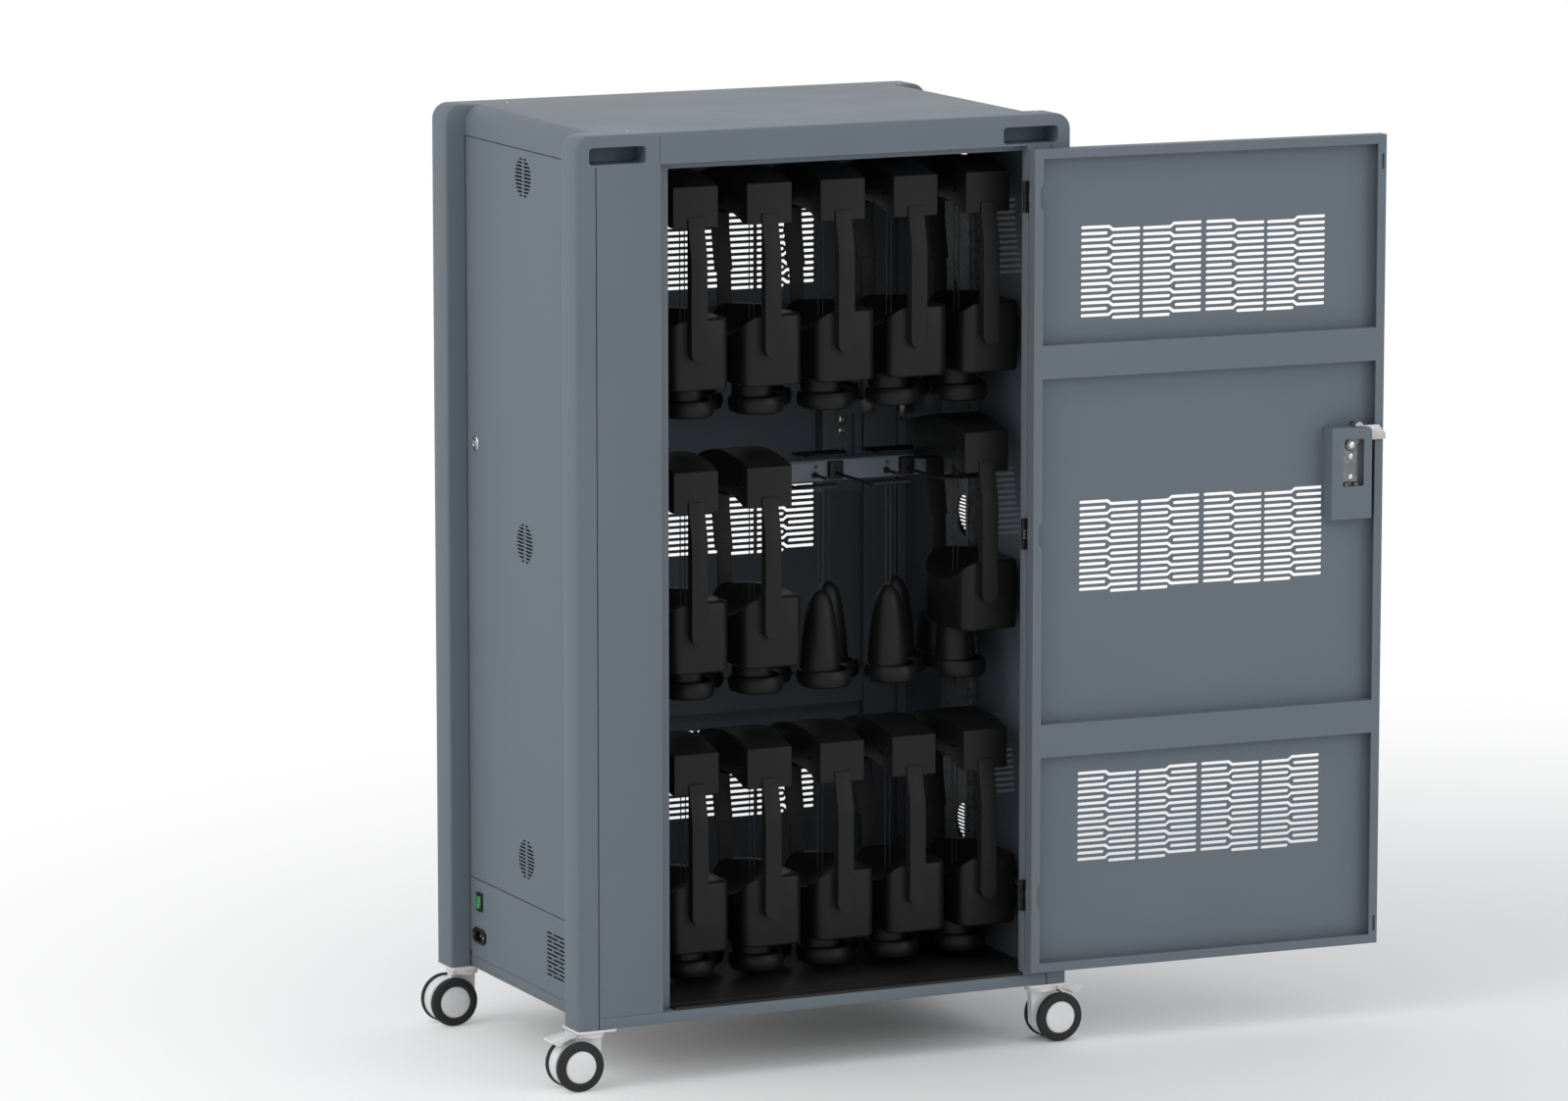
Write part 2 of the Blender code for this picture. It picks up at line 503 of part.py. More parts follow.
def build_inside():
    """Uprights on the side walls, three hanger rails between them, hangers front and rear."""
    for side, x in (("left", -1), ("right", 1)):
        xs = sorted((x * UPRIGHT_X, x * (UPRIGHT_X + SHEET)))
        column = box("upright_" + side, (xs[0], -UPRIGHT_Y, FLOOR_Z + GAP), (xs[1], UPRIGHT_Y,
                     COVER_Z - GAP), ZINC)
        holes = bmesh.new()
        for z in SIDE_VENT_ZS:
            add_cylinder(holes, (x * UPRIGHT_X, 0, z), (1, 0, 0), SIDE_VENT_R + 0.003, 0.03, 16)
        cut(column, keep("upright_holes_" + side, holes, None, True))

    reach = UPRIGHT_X - GAP
    for row, top in enumerate(ROW_TOPS):
        z1 = top - RAIL_DROP
        z0 = z1 - RAIL_H
        rail = box("hanger_rail_%d" % (row + 1), (-reach, -RAIL_DEPTH / 2, z0), (reach, RAIL_DEPTH / 2,
                   z1), ZINC)
        hollow = box("rail_hollow_%d" % (row + 1), (-reach - 0.01, -RAIL_DEPTH / 2 + 0.0025, z0 - 0.01),
                     (reach + 0.01, RAIL_DEPTH / 2 - 0.0025, z1 - 0.0025), None, True)
        cut(rail, hollow)
        plate_x, plate_y, plate_z = HANGER_PLATE
        crown = top - PACK_HEIGHT + PACK_ARCH * (1 - PACK_SEAT ** 2) - GAP
        tools = []
        for column in range(5):
            x = COLUMN_X + (column - 2) * COLUMN_PITCH
            arm = x - HANGER_ASIDE
            half = HANGER_WIRE / 2
            for end, y, width in ((-1, HANGER_Y, plate_x), (1, HANGER_REAR_Y, HANGER_REAR_WIDTH)):
                tag = "%d_%d_%s" % (row + 1, column + 1, "rear" if end > 0 else "front")
                root = end * (RAIL_DEPTH / 2 - 0.001)
                ys = sorted((root, root + end * 0.009))
                clip = box("clip_" + tag, (arm - 0.007, ys[0], z0 + 0.002), (arm + 0.007, ys[1],
                           z1 - 0.002), None, True)
                ys = sorted((root + end * 0.004, y + end * 0.004))
                wire = box("wire_" + tag, (arm - half, ys[0], crown - HANGER_WIRE),
                           (arm + half, ys[1], crown), None, True)
                side = min(arm - half, x - width / 2)
                plate = box("plate_" + tag, (side, y - plate_y / 2, crown - plate_z - 0.0005),
                            (x + width / 2, y + plate_y / 2, crown - 0.0005), None, True)
                tools += [clip, wire, plate]
            if (row, column) == RAISED_STATION:
                tools.append(box("stem_%d" % column, (x - 0.012, HANGER_Y - 0.010, crown - plate_z),
                                 (x + 0.012, HANGER_Y + 0.010, crown + RAISED_BY), None, True))
            if (row, column) in EMPTY_STATIONS:
                tools.append(box("peg_%d" % column,
                                 (x + PEG_X - half, -RAIL_DEPTH / 2 - PEG_REACH, crown - HANGER_WIRE),
                                 (x + PEG_X + half, -RAIL_DEPTH / 2 + 0.001, crown), None, True))
        weld(rail, *tools)


def build_headset(row, column):
    """One stored headset: rear pack over the hanger plate, two straps, and the visor below."""
    x = COLUMN_X + (column - 2) * COLUMN_PITCH
    top = ROW_TOPS[row] + (RAISED_BY if (row, column) == RAISED_STATION else 0.0)
    tag = "%d_%d" % (row + 1, column + 1)
    mid, half = (SET_NEAR + SET_FAR) / 2, (SET_FAR - SET_NEAR) / 2
    arch = [(mid + half * t, top + PACK_ARCH * (1 - t * t)) for t in (-1, -0.66, -0.33, 0, 0.33, 0.66, 1)]
    leg = half - 0.015
    steps = (1, 0.6, PACK_SEAT, -PACK_SEAT, -0.6, -1)
    under = [(mid + leg * t, top - PACK_HEIGHT + PACK_ARCH * (1 - t * t)) for t in steps]
    outline = arch + [(SET_FAR, top - PACK_HEIGHT)] + under + [(SET_NEAR, top - PACK_HEIGHT)]
    headset = prism("headset_" + tag, outline, "X", x - PACK_WIDTH / 2, x + PACK_WIDTH / 2, SHELL)

    foot = top - VISOR_DROP - VISOR_HEIGHT
    visor = box("visor_" + tag, (x - VISOR_WIDTH / 2, SET_NEAR, foot), (x + VISOR_WIDTH / 2, SET_FAR,
                top - VISOR_DROP),
                None, True)
    round_edges(visor, VISOR_R, 3, upright)
    face = box("visor_face_" + tag, (x - VISOR_WIDTH / 2 + VISOR_WALL, SET_NEAR + 0.022, foot + 0.035),
               (x + VISOR_WIDTH / 2 - VISOR_WALL, SET_FAR - 0.022, top - VISOR_DROP + 0.01), None, True)
    round_edges(face, 0.018, 1, upright)
    straps = []
    for end, y0, y1 in (("near", SET_NEAR - STRAP_PROUD, SET_NEAR + STRAP_SUNK),
                        ("far", SET_FAR - STRAP_SUNK, SET_FAR + STRAP_SUNK)):
        straps.append(box("strap_%s_%s" % (tag, end), (x - STRAP_WIDTH / 2, y0, top - STRAP_END),
                          (x + STRAP_WIDTH / 2, y1, top - 0.045), None, True))
    cut(visor, face)
    weld(headset, visor, *straps)
    return headset


def build_door(prefix, hinge_x, turn, frame):
    """A door in its closed place at the front, hung on its hinge empty.

    turn is None for the front door, which then swings open, or the plan point about which the whole
    door is turned half round to close the rear doorway. The rear hinges are welded to their frame.
    """
    edge = OPEN_RIGHT - DOOR_HINGE_GAP          # hinge edge
    free = OPEN_LEFT + DOOR_FREE_GAP            # free edge
    face = -HALF_DEPTH
    back = face + DOOR_DEPTH
    skin = face + DOOR_SHEET

    def at(u):
        return edge - u

    door = box(prefix + "_door", (free, face, DOOR_Z0), (edge, back, DOOR_Z1), PAINT)
    cavity = box(prefix + "_door_cavity", (free + DOOR_SHEET, skin, DOOR_Z0 + DOOR_SHEET),
                 (edge - DOOR_SHEET, back - DOOR_SHEET, DOOR_Z1 - DOOR_SHEET), None, True)
    window = box(prefix + "_door_window", (free + DOOR_LIP, back - 2 * DOOR_SHEET, DOOR_Z0 + DOOR_LIP),
                 (edge - DOOR_LIP, back + 0.01, DOOR_Z1 - DOOR_LIP), None, True)
    spans = []
    middle = (VENT_U[0] + VENT_U[1]) / 2
    pitch = (VENT_H - VENT_SLOT) / (VENT_ROWS - 1)
    for z_mid in VENT_ZS:
        for u0, u1 in ((VENT_U[0], middle - 0.0035), (middle + 0.0035, VENT_U[1])):
            for row in range(VENT_ROWS):
                z = z_mid - VENT_H / 2 + row * pitch
                spans.append(((at(u1), face - 0.01, z), (at(u0), skin + 0.003, z + VENT_SLOT)))
    vents = boxes(prefix + "_door_vents", spans)
    spindle_hole = cylinder(prefix + "_spindle_hole", (at(SPINDLE_U), face, SPINDLE_Z), (0, 1, 0),
                            SPINDLE_R + HINGE_GAP, 0.02, 20, tool=True)
    axis = Vector((hinge_x, face - HINGE_OUT, 0))
    third = HINGE_LENGTH / 3
    knuckles, bores, leaves = bmesh.new(), bmesh.new(), bmesh.new()
    hinges = []
    for count, z in enumerate(HINGE_ZS):
        for side in (-1, 1):
            add_cylinder(knuckles, axis + Vector((0, 0, z + side * third)), (0, 0, 1), HINGE_R,
                         third - HINGE_GAP, 12)
            add_box(leaves, (edge - 0.004, axis.y - 0.001, z + side * third - third / 2 + HINGE_GAP / 2),
                    (axis.x, face + DOOR_SHEET - 0.0002, z + side * third + third / 2 - HINGE_GAP / 2))
        add_cylinder(bores, axis + Vector((0, 0, z)), (0, 0, 1), PIN_R + HINGE_GAP, HINGE_LENGTH + 0.01, 12)
        tag = "%s_hinge_%d" % (prefix, count + 1)
        barrel = cylinder(tag, axis + Vector((0, 0, z)), (0, 0, 1), HINGE_R, third - HINGE_GAP, 12, BLACK,
                          tool=bool(frame))
        seat = face + 0.0005 if frame else face - GAP
        leaf = box(tag + "_leaf", (axis.x, face - GAP - 0.002, z - third / 2 + HINGE_GAP / 2),
                   (OPEN_RIGHT + 0.011, seat, z + third / 2 - HINGE_GAP / 2), None, True)
        pin = cylinder(tag + "_pin", axis + Vector((0, 0, z)), (0, 0, 1), PIN_R, HINGE_LENGTH, 12,
                       tool=True)
        if frame:
            weld(frame, leaf, barrel, pin)
        else:
            weld(barrel, leaf, pin)
        hinges += [barrel, leaf, pin]
    knuckles = keep(prefix + "_knuckles", knuckles, None, True)
    leaves = keep(prefix + "_knuckle_leaves", leaves, None, True)
    bores = keep(prefix + "_knuckle_bores", bores, None, True)
    cut(door, cavity, window, vents, spindle_hole)
    weld(door, leaves, knuckles)
    cut(door, bores)
    swung = [door, cavity, window, vents, spindle_hole, knuckles, leaves, bores]

    for count, z in enumerate(STIFFENER_ZS):
        tag = "%s_stiffener_%d" % (prefix, count + 1)
        lo = (free + DOOR_LIP - 0.005, skin - 0.0005, z - STIFFENER_H / 2)
        hi = (edge - DOOR_LIP + 0.005, back - 0.0002, z + STIFFENER_H / 2)
        hat = box(tag, lo, hi, None, True)
        inside = box(tag + "_inside", (lo[0] - 0.01, lo[1] - 0.01, lo[2] + SHEET),
                     (hi[0] + 0.01, hi[1] - SHEET, hi[2] - SHEET), None, True)
        cut(hat, inside)
        weld(door, hat)
        swung += [hat, inside]

    lo = (at(LOCK_U[1]), skin + GAP, LOCK_Z[0])
    hi = (at(LOCK_U[0]), skin + LOCK_PROUD, LOCK_Z[1])
    lock = box(prefix + "_lock_box", lo, hi, PAINT)
    round_edges(lock, 0.010, 3,
                lambda a, b: abs(a.x - b.x) < 1e-6 and a.x < lo[0] + 1e-6 and min(a.z, b.z) > hi[2] - 1e-6)
    chamber = box(prefix + "_lock_chamber", (lo[0] + 2 * SHEET, lo[1] - 0.01, lo[2] + SHEET),
                  (hi[0] - SHEET, hi[1] - SHEET, LOCK_WINDOW_Z[1] - 0.006), None, True)
    centre = (lo[0] + hi[0]) / 2 + 0.004
    sight = box(prefix + "_lock_sight", (centre - LOCK_WINDOW / 2, hi[1] - 0.01, LOCK_WINDOW_Z[0]),
                (centre + LOCK_WINDOW / 2, hi[1] + 0.01, LOCK_WINDOW_Z[1] - 0.012), None, True)
    cut(lock, chamber, sight)
    swung += [lock, chamber, sight]

    outer = hi[1] + GAP
    tip = free - LATCH_PAST_EDGE
    hook = back + LEDGE_SHEET + 2 * GAP
    place = Vector((at(SPINDLE_U), 0, SPINDLE_Z))
    latch = box(prefix + "_latch", (tip, outer, LATCH_Z[0]), (at(SPINDLE_U) + 0.007, outer + SHEET,
                LATCH_Z[1]), NICKEL)
    nose = box(prefix + "_latch_nose", (tip, hook, LATCH_Z[0]), (lo[0] - 0.001, outer + 0.001,
               LATCH_Z[1]), None, True)
    spindle = cylinder(prefix + "_spindle", (place.x, (face - 0.010 + outer + SHEET) / 2, SPINDLE_Z), (0,
                       1, 0), SPINDLE_R,
                       outer + SHEET - face + 0.010, 16, tool=True)
    boss = cylinder(prefix + "_latch_boss", (place.x, outer + 0.003, SPINDLE_Z), (0, 1, 0), 0.0065,
                    0.006, 16, tool=True)
    weld(latch, nose, spindle, boss)
    lever = box(prefix + "_handle", (place.x - 0.009, face - 0.022, SPINDLE_Z - LEVER_LENGTH),
                (place.x + 0.009, face - 0.010 - GAP, SPINDLE_Z + 0.014), BLACK)
    round_edges(lever, 0.004, 2, lambda a, b: abs(a.x - b.x) < 1e-6 and abs(a.z - b.z) < 1e-6)
    rose = cylinder(prefix + "_rose", (place.x, face - 0.0055, SPINDLE_Z), (0, 1, 0), 0.013, 0.0098, 20,
                    tool=True)
    rose_bore = cylinder(prefix + "_rose_bore", (place.x, face, SPINDLE_Z), (0, 1, 0), SPINDLE_R + GAP,
                         0.0205, 16, tool=True)
    weld(lever, rose)
    cut(lever, rose_bore)
    turned = [latch, nose, spindle, boss, lever, rose, rose_bore]
    latch_turn = pivot(prefix + "_latch_turn", (place.x, face, place.z), turned)
    hinge = pivot(prefix + "_door_hinge", axis, swung + [latch_turn])
    if turn is None:
        hinge.rotation_euler.z = math.radians(DOOR_OPEN)
    else:
        pivot(prefix + "_side", turn, [hinge] + hinges, 180.0)


def build_caster(end, y, side, x, braked):
    tag = "%s_%s" % (end, side)
    px, py = x * CASTER_X, y * CASTER_Y
    plate_z = SILL_Z - GAP
    plate = box("caster_plate_" + tag, (px - PLATE_SIZE / 2, py - PLATE_SIZE / 2, plate_z - PLATE_THICK),
                (px + PLATE_SIZE / 2, py + PLATE_SIZE / 2, plate_z), WHITE)
    round_edges(plate, 0.006, 2, upright)

    crown_top = plate_z - PLATE_THICK - GAP
    crown_low = 2 * WHEEL_R + 0.0025
    wheel_x = px + x * TRAIL
    fork = cylinder("caster_fork_" + tag, (px, py, (crown_top + crown_low) / 2), (0, 0, 1), CROWN_R,
                    crown_top - crown_low, 20, WHITE)
    xs = sorted((px - x * 0.014, wheel_x))
    leg = box("caster_leg_" + tag, (xs[0], py - 0.0075, WHEEL_R + 0.004), (xs[1], py + 0.0075,
              crown_low + 0.0006), None, True)
    hood = cylinder("caster_hood_" + tag, (wheel_x, py, WHEEL_R), (0, 1, 0), HOOD_R, 0.0145, 24, tool=True)
    xs = sorted((px + x * 0.010, wheel_x))
    shelf = box("caster_shelf_" + tag, (xs[0], py - 0.014, crown_low), (xs[1], py + 0.014, crown_top),
                None, True)
    bore = cylinder("caster_bore_" + tag, (wheel_x, py, WHEEL_R), (0, 1, 0), AXLE_R + AXLE_GAP, 0.04, 16,
                    tool=True)
    weld(fork, leg, hood, shelf)
    cut(fork, bore)

    wheels = cylinder("caster_wheels_" + tag, (wheel_x, py, WHEEL_R), (0, 1, 0), AXLE_R, WHEEL_PITCH, 16,
                      TYRE)
    tyres = []
    for half in (-1, 1):
        tyre = cylinder("tyre_%s_%d" % (tag, half), (wheel_x, py + half * WHEEL_PITCH / 2, WHEEL_R), (0,
                        1, 0),
                        WHEEL_R, TYRE_WIDTH, 24, tool=True)
        round_edges(tyre, 0.0025, 1, lambda a, b: abs(a.y - b.y) < 1e-6)
        tyres.append(tyre)
    weld(wheels, *tyres)
    roll = pivot("caster_roll_" + tag, (wheel_x, py, WHEEL_R), [wheels] + tyres)
    swivelled = [fork, leg, hood, shelf, bore, roll]

    if braked:
        hub_r = 0.004
        hub_x = wheel_x + x * (hub_r + GAP)
        hub_z = (crown_top + crown_low) / 2
        pedal = cylinder("brake_pedal_" + side, (hub_x, py, hub_z), (0, 1, 0), hub_r, 0.028, 16, WHITE)
        xs = sorted((hub_x, px + x * PEDAL_REACH))
        tread = box("brake_tread_" + side, (xs[0], py - 0.013, hub_z - 0.002), (xs[1], py + 0.013,
                    hub_z + 0.002), None, True)
        weld(pedal, tread)
        swivelled.append(pivot("brake_press_" + side, (hub_x, py, hub_z), [pedal, tread]))
    pivot("caster_swivel_" + tag, (px, py, crown_top), swivelled)


def centre_on_box():
    """Put the origin on the floor under the middle of the whole cart's box."""
    bpy.context.view_layer.update()
    graph = bpy.context.evaluated_depsgraph_get()
    corners = []
    for part in parts.objects:
        if part.type == "MESH":
            solid = part.evaluated_get(graph)
            corners += [solid.matrix_world @ v.co for v in solid.to_mesh().vertices]
            solid.to_mesh_clear()
    shift = [-(min(c[i] for c in corners) + max(c[i] for c in corners)) / 2 for i in (0, 1)]
    shift.append(-min(c.z for c in corners))
    cart = bpy.data.objects.new("cart_centre", None)
    parts.objects.link(cart)
    for thing in list(parts.objects) + list(cutters.objects):
        if thing.parent is None and thing is not cart:
            thing.parent = cart
    cart.location = shift
    return shift


build_base()
build_posts()
build_cover()
build_frame("front_face_frame", True, True)
rear_frame = build_frame("rear_face_frame", False, False)
left_lower = build_side("left", -1)
build_side("right", 1)
build_power(left_lower)
build_inside()
for row in range(len(ROW_TOPS)):
    for column in range(5):
        if (row, column) not in EMPTY_STATIONS:
            build_headset(row, column)
door_axis = OPEN_RIGHT - DOOR_HINGE_GAP + HINGE_IN
build_door("front", door_axis, None, None)
build_door("rear", door_axis, ((OPEN_LEFT + OPEN_RIGHT) / 2, 0, 0), rear_frame)
for end, y in (("front", -1), ("rear", 1)):
    for side, x in (("left", -1), ("right", 1)):
        build_caster(end, y, side, x, end == "front")
moved = centre_on_box()
print("cart centre at", [round(v, 5) for v in moved])
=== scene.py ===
import math

import bpy
from mathutils import Matrix, Vector


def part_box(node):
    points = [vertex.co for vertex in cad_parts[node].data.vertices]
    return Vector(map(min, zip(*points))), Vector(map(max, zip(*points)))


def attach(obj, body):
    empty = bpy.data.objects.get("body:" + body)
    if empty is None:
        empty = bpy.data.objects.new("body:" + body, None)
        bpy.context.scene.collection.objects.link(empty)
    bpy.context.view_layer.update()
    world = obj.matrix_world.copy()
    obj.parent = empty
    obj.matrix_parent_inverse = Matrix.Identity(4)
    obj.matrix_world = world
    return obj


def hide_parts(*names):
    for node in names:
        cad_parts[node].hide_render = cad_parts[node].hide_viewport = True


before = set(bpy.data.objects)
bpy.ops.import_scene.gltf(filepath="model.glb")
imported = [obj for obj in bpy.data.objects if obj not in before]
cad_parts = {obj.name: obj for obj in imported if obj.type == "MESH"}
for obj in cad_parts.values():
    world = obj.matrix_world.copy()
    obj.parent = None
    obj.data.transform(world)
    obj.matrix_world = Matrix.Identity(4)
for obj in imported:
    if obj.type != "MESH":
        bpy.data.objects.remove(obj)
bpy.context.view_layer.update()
baseLow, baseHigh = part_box("base_pan")
cartPlace = (Vector(baseLow) + Vector(baseHigh)) / 2  # plan centre of the cabinet
cartPlace.z = 0.0
print("frame loaded, cabinet centre at", [round(v, 4) for v in cartPlace])

cabinet = {"ear": 0.400, "half": 0.367, "deep": 0.271, "postY": 0.216, "low": 0.092, "sill": 0.1095,
           "floor": 0.114, "coverLow": 1.3615, "top": 1.407, "left": -0.265, "right": 0.329, "gap": 0.0003}
openAngle = 177.35  # the front door's place at rest


def turnAbout(axis, degrees):
    there, back = Matrix.Translation(axis), Matrix.Translation(-axis)
    return there @ Matrix.Rotation(math.radians(degrees), 4, "Z") @ back


hingeAxis = Vector((0.323, -0.2731, 0.0))
openDoor = turnAbout(hingeAxis, openAngle)
rearDoor = turnAbout(Vector((0.032, 0.0, 0.0)), 180)  # half round the middle between both doorways


# picking and small tools
same = 1e-6  # places closer than this count as one
close = 1e-5  # and closer than this they lie on one face or are merged
smoothAngle = math.radians(32)


def alongX(a, b):
    return abs(a.y - b.y) < same and abs(a.z - b.z) < same


def alongY(a, b):
    return abs(a.x - b.x) < same and abs(a.z - b.z) < same


def alongZ(a, b):
    return abs(a.x - b.x) < same and abs(a.y - b.y) < same


def clearPick():
    if bpy.context.object and bpy.context.object.mode != "OBJECT":
        bpy.ops.object.mode_set(mode="OBJECT")
    bpy.ops.object.select_all(action="DESELECT")


def takeUp(obj):
    clearPick()
    obj.select_set(True)
    bpy.context.view_layer.objects.active = obj
    return obj


def pick(obj, kind, test):  # leaves obj in edit mode with what test chooses
    takeUp(obj)
    bpy.context.tool_settings.mesh_select_mode = (False, kind == "EDGE", kind == "FACE")
    bpy.ops.object.mode_set(mode="EDIT")
    bpy.ops.mesh.select_all(action="DESELECT")
    bpy.ops.object.mode_set(mode="OBJECT")
    mesh = obj.data
    if kind == "EDGE":
        for edge in mesh.edges:
            edge.select = test(mesh.vertices[edge.vertices[0]].co, mesh.vertices[edge.vertices[1]].co)
    else:
        for face in mesh.polygons:
            face.select = test(face.center, face.normal)
    bpy.ops.object.mode_set(mode="EDIT")


def bevelEdges(obj, test, width, segments=2):
    pick(obj, "EDGE", test)
    bpy.ops.mesh.bevel(offset=width, offset_type="OFFSET", segments=segments, profile=0.5, affect="EDGES")
    bpy.ops.object.mode_set(mode="OBJECT")
    return obj


def sinkFaces(obj, test, inset, push):  # insets the chosen faces and pushes them along a vector
    pick(obj, "FACE", test)
    bpy.ops.mesh.inset(thickness=inset, use_even_offset=True)
    bpy.ops.mesh.extrude_region_move(TRANSFORM_OT_translate={"value": push})
    bpy.ops.object.mode_set(mode="OBJECT")
    return obj


def tidyMesh(obj):
    takeUp(obj)
    bpy.ops.object.mode_set(mode="EDIT")
    bpy.ops.mesh.select_all(action="SELECT")
    bpy.ops.mesh.remove_doubles(threshold=close)
    bpy.ops.mesh.normals_make_consistent(inside=False)
    bpy.ops.object.mode_set(mode="OBJECT")
    return obj


def addBlock(name, low, high):
    low, high = Vector(low), Vector(high)
    clearPick()
    bpy.ops.mesh.primitive_cube_add(size=1, location=(low + high) / 2, scale=high - low)
    bpy.ops.object.transform_apply(location=True, rotation=True, scale=True)
    obj = bpy.context.object
    obj.name = name
    return obj


def addRod(name, centre, axis, radius, length, sides=24):
    turn = {"X": (0, math.pi / 2, 0), "Y": (math.pi / 2, 0, 0), "Z": (0, 0, 0)}[axis]
    clearPick()
    bpy.ops.mesh.primitive_cylinder_add(vertices=sides, radius=radius, depth=length, location=centre,
                                        rotation=turn)
    bpy.ops.object.transform_apply(location=True, rotation=True, scale=True)
    obj = bpy.context.object
    obj.name = name
    return obj


def roundRod(name, centre, axis, radius, length, rim, sides=24):
    obj = addRod(name, centre, axis, radius, length, sides)
    way = "XYZ".index(axis)
    return bevelEdges(obj, lambda a, b: abs(a[way] - b[way]) < same, rim, 2)


def applyModifier(obj, kind, **settings):
    takeUp(obj)
    step = obj.modifiers.new(kind.lower(), kind)
    for key, value in settings.items():
        setattr(step, key, value)
    bpy.ops.object.modifier_apply(modifier=step.name)
    return obj


def dropAll(*pieces):
    for piece in pieces:
        bpy.data.objects.remove(piece, do_unlink=True)


def cutWith(obj, tool, operation="DIFFERENCE"):
    applyModifier(obj, "BOOLEAN", operation=operation, solver="EXACT", object=tool)
    dropAll(tool)
    return obj


def joinAll(name, pieces):
    takeUp(pieces[0])
    for piece in pieces[1:]:
        piece.select_set(True)
    if len(pieces) > 1:
        bpy.ops.object.join()
    pieces[0].name = name
    return pieces[0]


def copyPiece(obj, name, move=None):
    twin = obj.copy()
    twin.data = obj.data.copy()
    twin.name = name
    bpy.context.collection.objects.link(twin)
    if move is not None:
        twin.data.transform(move)
    return twin


def signedArea(ring):
    return sum(a[0] * b[1] - b[0] * a[1] for a, b in zip(ring, ring[1:] + ring[:1])) / 2


planes = {
    "XY": lambda middle: Matrix.Translation((0, 0, middle)),
    "XZ": lambda middle: Matrix.Translation((0, middle, 0)) @ Matrix.Rotation(math.pi / 2, 4, "X"),
    "YZ": lambda middle: Matrix(((0, 0, 1, middle), (1, 0, 0, 0), (0, 1, 0, 0), (0, 0, 0, 1))),
}


def cutPlate(name, outline, holes, low, high, plane, edge=0.0):  # flat filled curve, thickened, then a mesh
    curve = bpy.data.curves.new(name, "CURVE")
    curve.dimensions = "2D"
    curve.fill_mode = "BOTH"
    curve.extrude = (high - low) / 2 - edge
    curve.bevel_depth = edge
    curve.bevel_resolution = 2
    curve.offset = -edge
    for count, ring in enumerate([outline] + list(holes)):
        ring = [tuple(p) for p in ring]
        if (signedArea(ring) > 0) != (count == 0):
            ring.reverse()
        line = curve.splines.new("POLY")
        line.points.add(len(ring) - 1)
        for point, place in zip(line.points, ring):
            point.co = (place[0], place[1], 0.0, 1.0)
        line.use_cyclic_u = True
    obj = bpy.data.objects.new(name, curve)
    bpy.context.collection.objects.link(obj)
    takeUp(obj)
    bpy.ops.object.convert(target="MESH")
    obj = bpy.context.object
    obj.data.transform(planes[plane]((low + high) / 2))
    return tidyMesh(obj)


def spinProfile(name, points, centre, axis, steps=32):  # points are (radius, height along the axis)
    way = {"X": (0, 1), "Y": (1, 0), "Z": (2, 0)}[axis]
    places = []
    for radius, height in points:
        place = Vector(centre)
        place[way[0]] += height
        place[way[1]] += radius
        places.append(place)
    mesh = bpy.data.meshes.new(name)
    mesh.from_pydata(places, [(i, i + 1) for i in range(len(places) - 1)], [])
    obj = bpy.data.objects.new(name, mesh)
    bpy.context.collection.objects.link(obj)
    takeUp(obj)
    line = Vector((0, 0, 0))
    line[way[0]] = 1.0
    bpy.ops.object.mode_set(mode="EDIT")
    bpy.ops.mesh.select_all(action="SELECT")
    bpy.ops.mesh.spin(steps=steps, angle=2 * math.pi, center=centre, axis=line)
    bpy.ops.object.mode_set(mode="OBJECT")
    return tidyMesh(obj)


def span(side, a, b):  # low and high of two distances on one side of the middle
    return sorted((side * a, side * b))


def arc(cx, cy, radius, angles):  # points at the angles, in degrees
    return [(cx + radius * math.cos(math.radians(a)), cy + radius * math.sin(math.radians(a)))
            for a in angles]


def rectangle(x0, x1, y0, y1):
    return [(x0, y0), (x1, y0), (x1, y1), (x0, y1)]


def roundRectangle(x0, x1, y0, y1, radius, steps=6):
    ring = []
    for cx, cy, start in ((x1 - radius, y0 + radius, -90), (x1 - radius, y1 - radius, 0),
                          (x0 + radius, y1 - radius, 90), (x0 + radius, y0 + radius, 180)):
        ring += arc(cx, cy, radius, [start + 90 * step / steps for step in range(steps + 1)])
    return ring


def circle(cx, cy, radius, sides=24):
    return [(cx + radius * math.cos(2 * math.pi * i / sides),
             cy + radius * math.sin(2 * math.pi * i / sides)) for i in range(sides)]


def slotRing(points, width, steps=3):  # outline of a slot with round ends along a bent line
    half = width / 2
    points = [Vector(p) for p in points]
    runs = [(b - a).normalized() for a, b in zip(points, points[1:])]
    right, left = [], []
    for i, point in enumerate(points):
        before, after = runs[max(i - 1, 0)], runs[min(i, len(runs) - 1)]
        along = (before + after).normalized()
        aside = Vector((-along.y, along.x)) * (half / along.dot(before))
        right.append(point - aside)
        left.append(point + aside)

    def cap(point, along):
        start = math.atan2(along.y, along.x) - math.pi / 2
        return [point + half * Vector((math.cos(start + math.pi * s / (steps + 1)),
                                       math.sin(start + math.pi * s / (steps + 1))))
                for s in range(1, steps + 1)]

    ring = right + cap(points[-1], runs[-1]) + left[::-1] + cap(points[0], -runs[0])
    return [(p.x, p.y) for p in ring]


# finishes: shared effects as node groups, then one material for each finish

def newGroup(name, inputs, outputs):
    group = bpy.data.node_groups.new(name, "ShaderNodeTree")
    for label, kind, value in inputs:
        socket = group.interface.new_socket(label, in_out="INPUT", socket_type=kind)
        socket.default_value = value
    for label, kind in outputs:
        group.interface.new_socket(label, in_out="OUTPUT", socket_type=kind)
    return group, group.nodes.new("NodeGroupInput"), group.nodes.new("NodeGroupOutput")


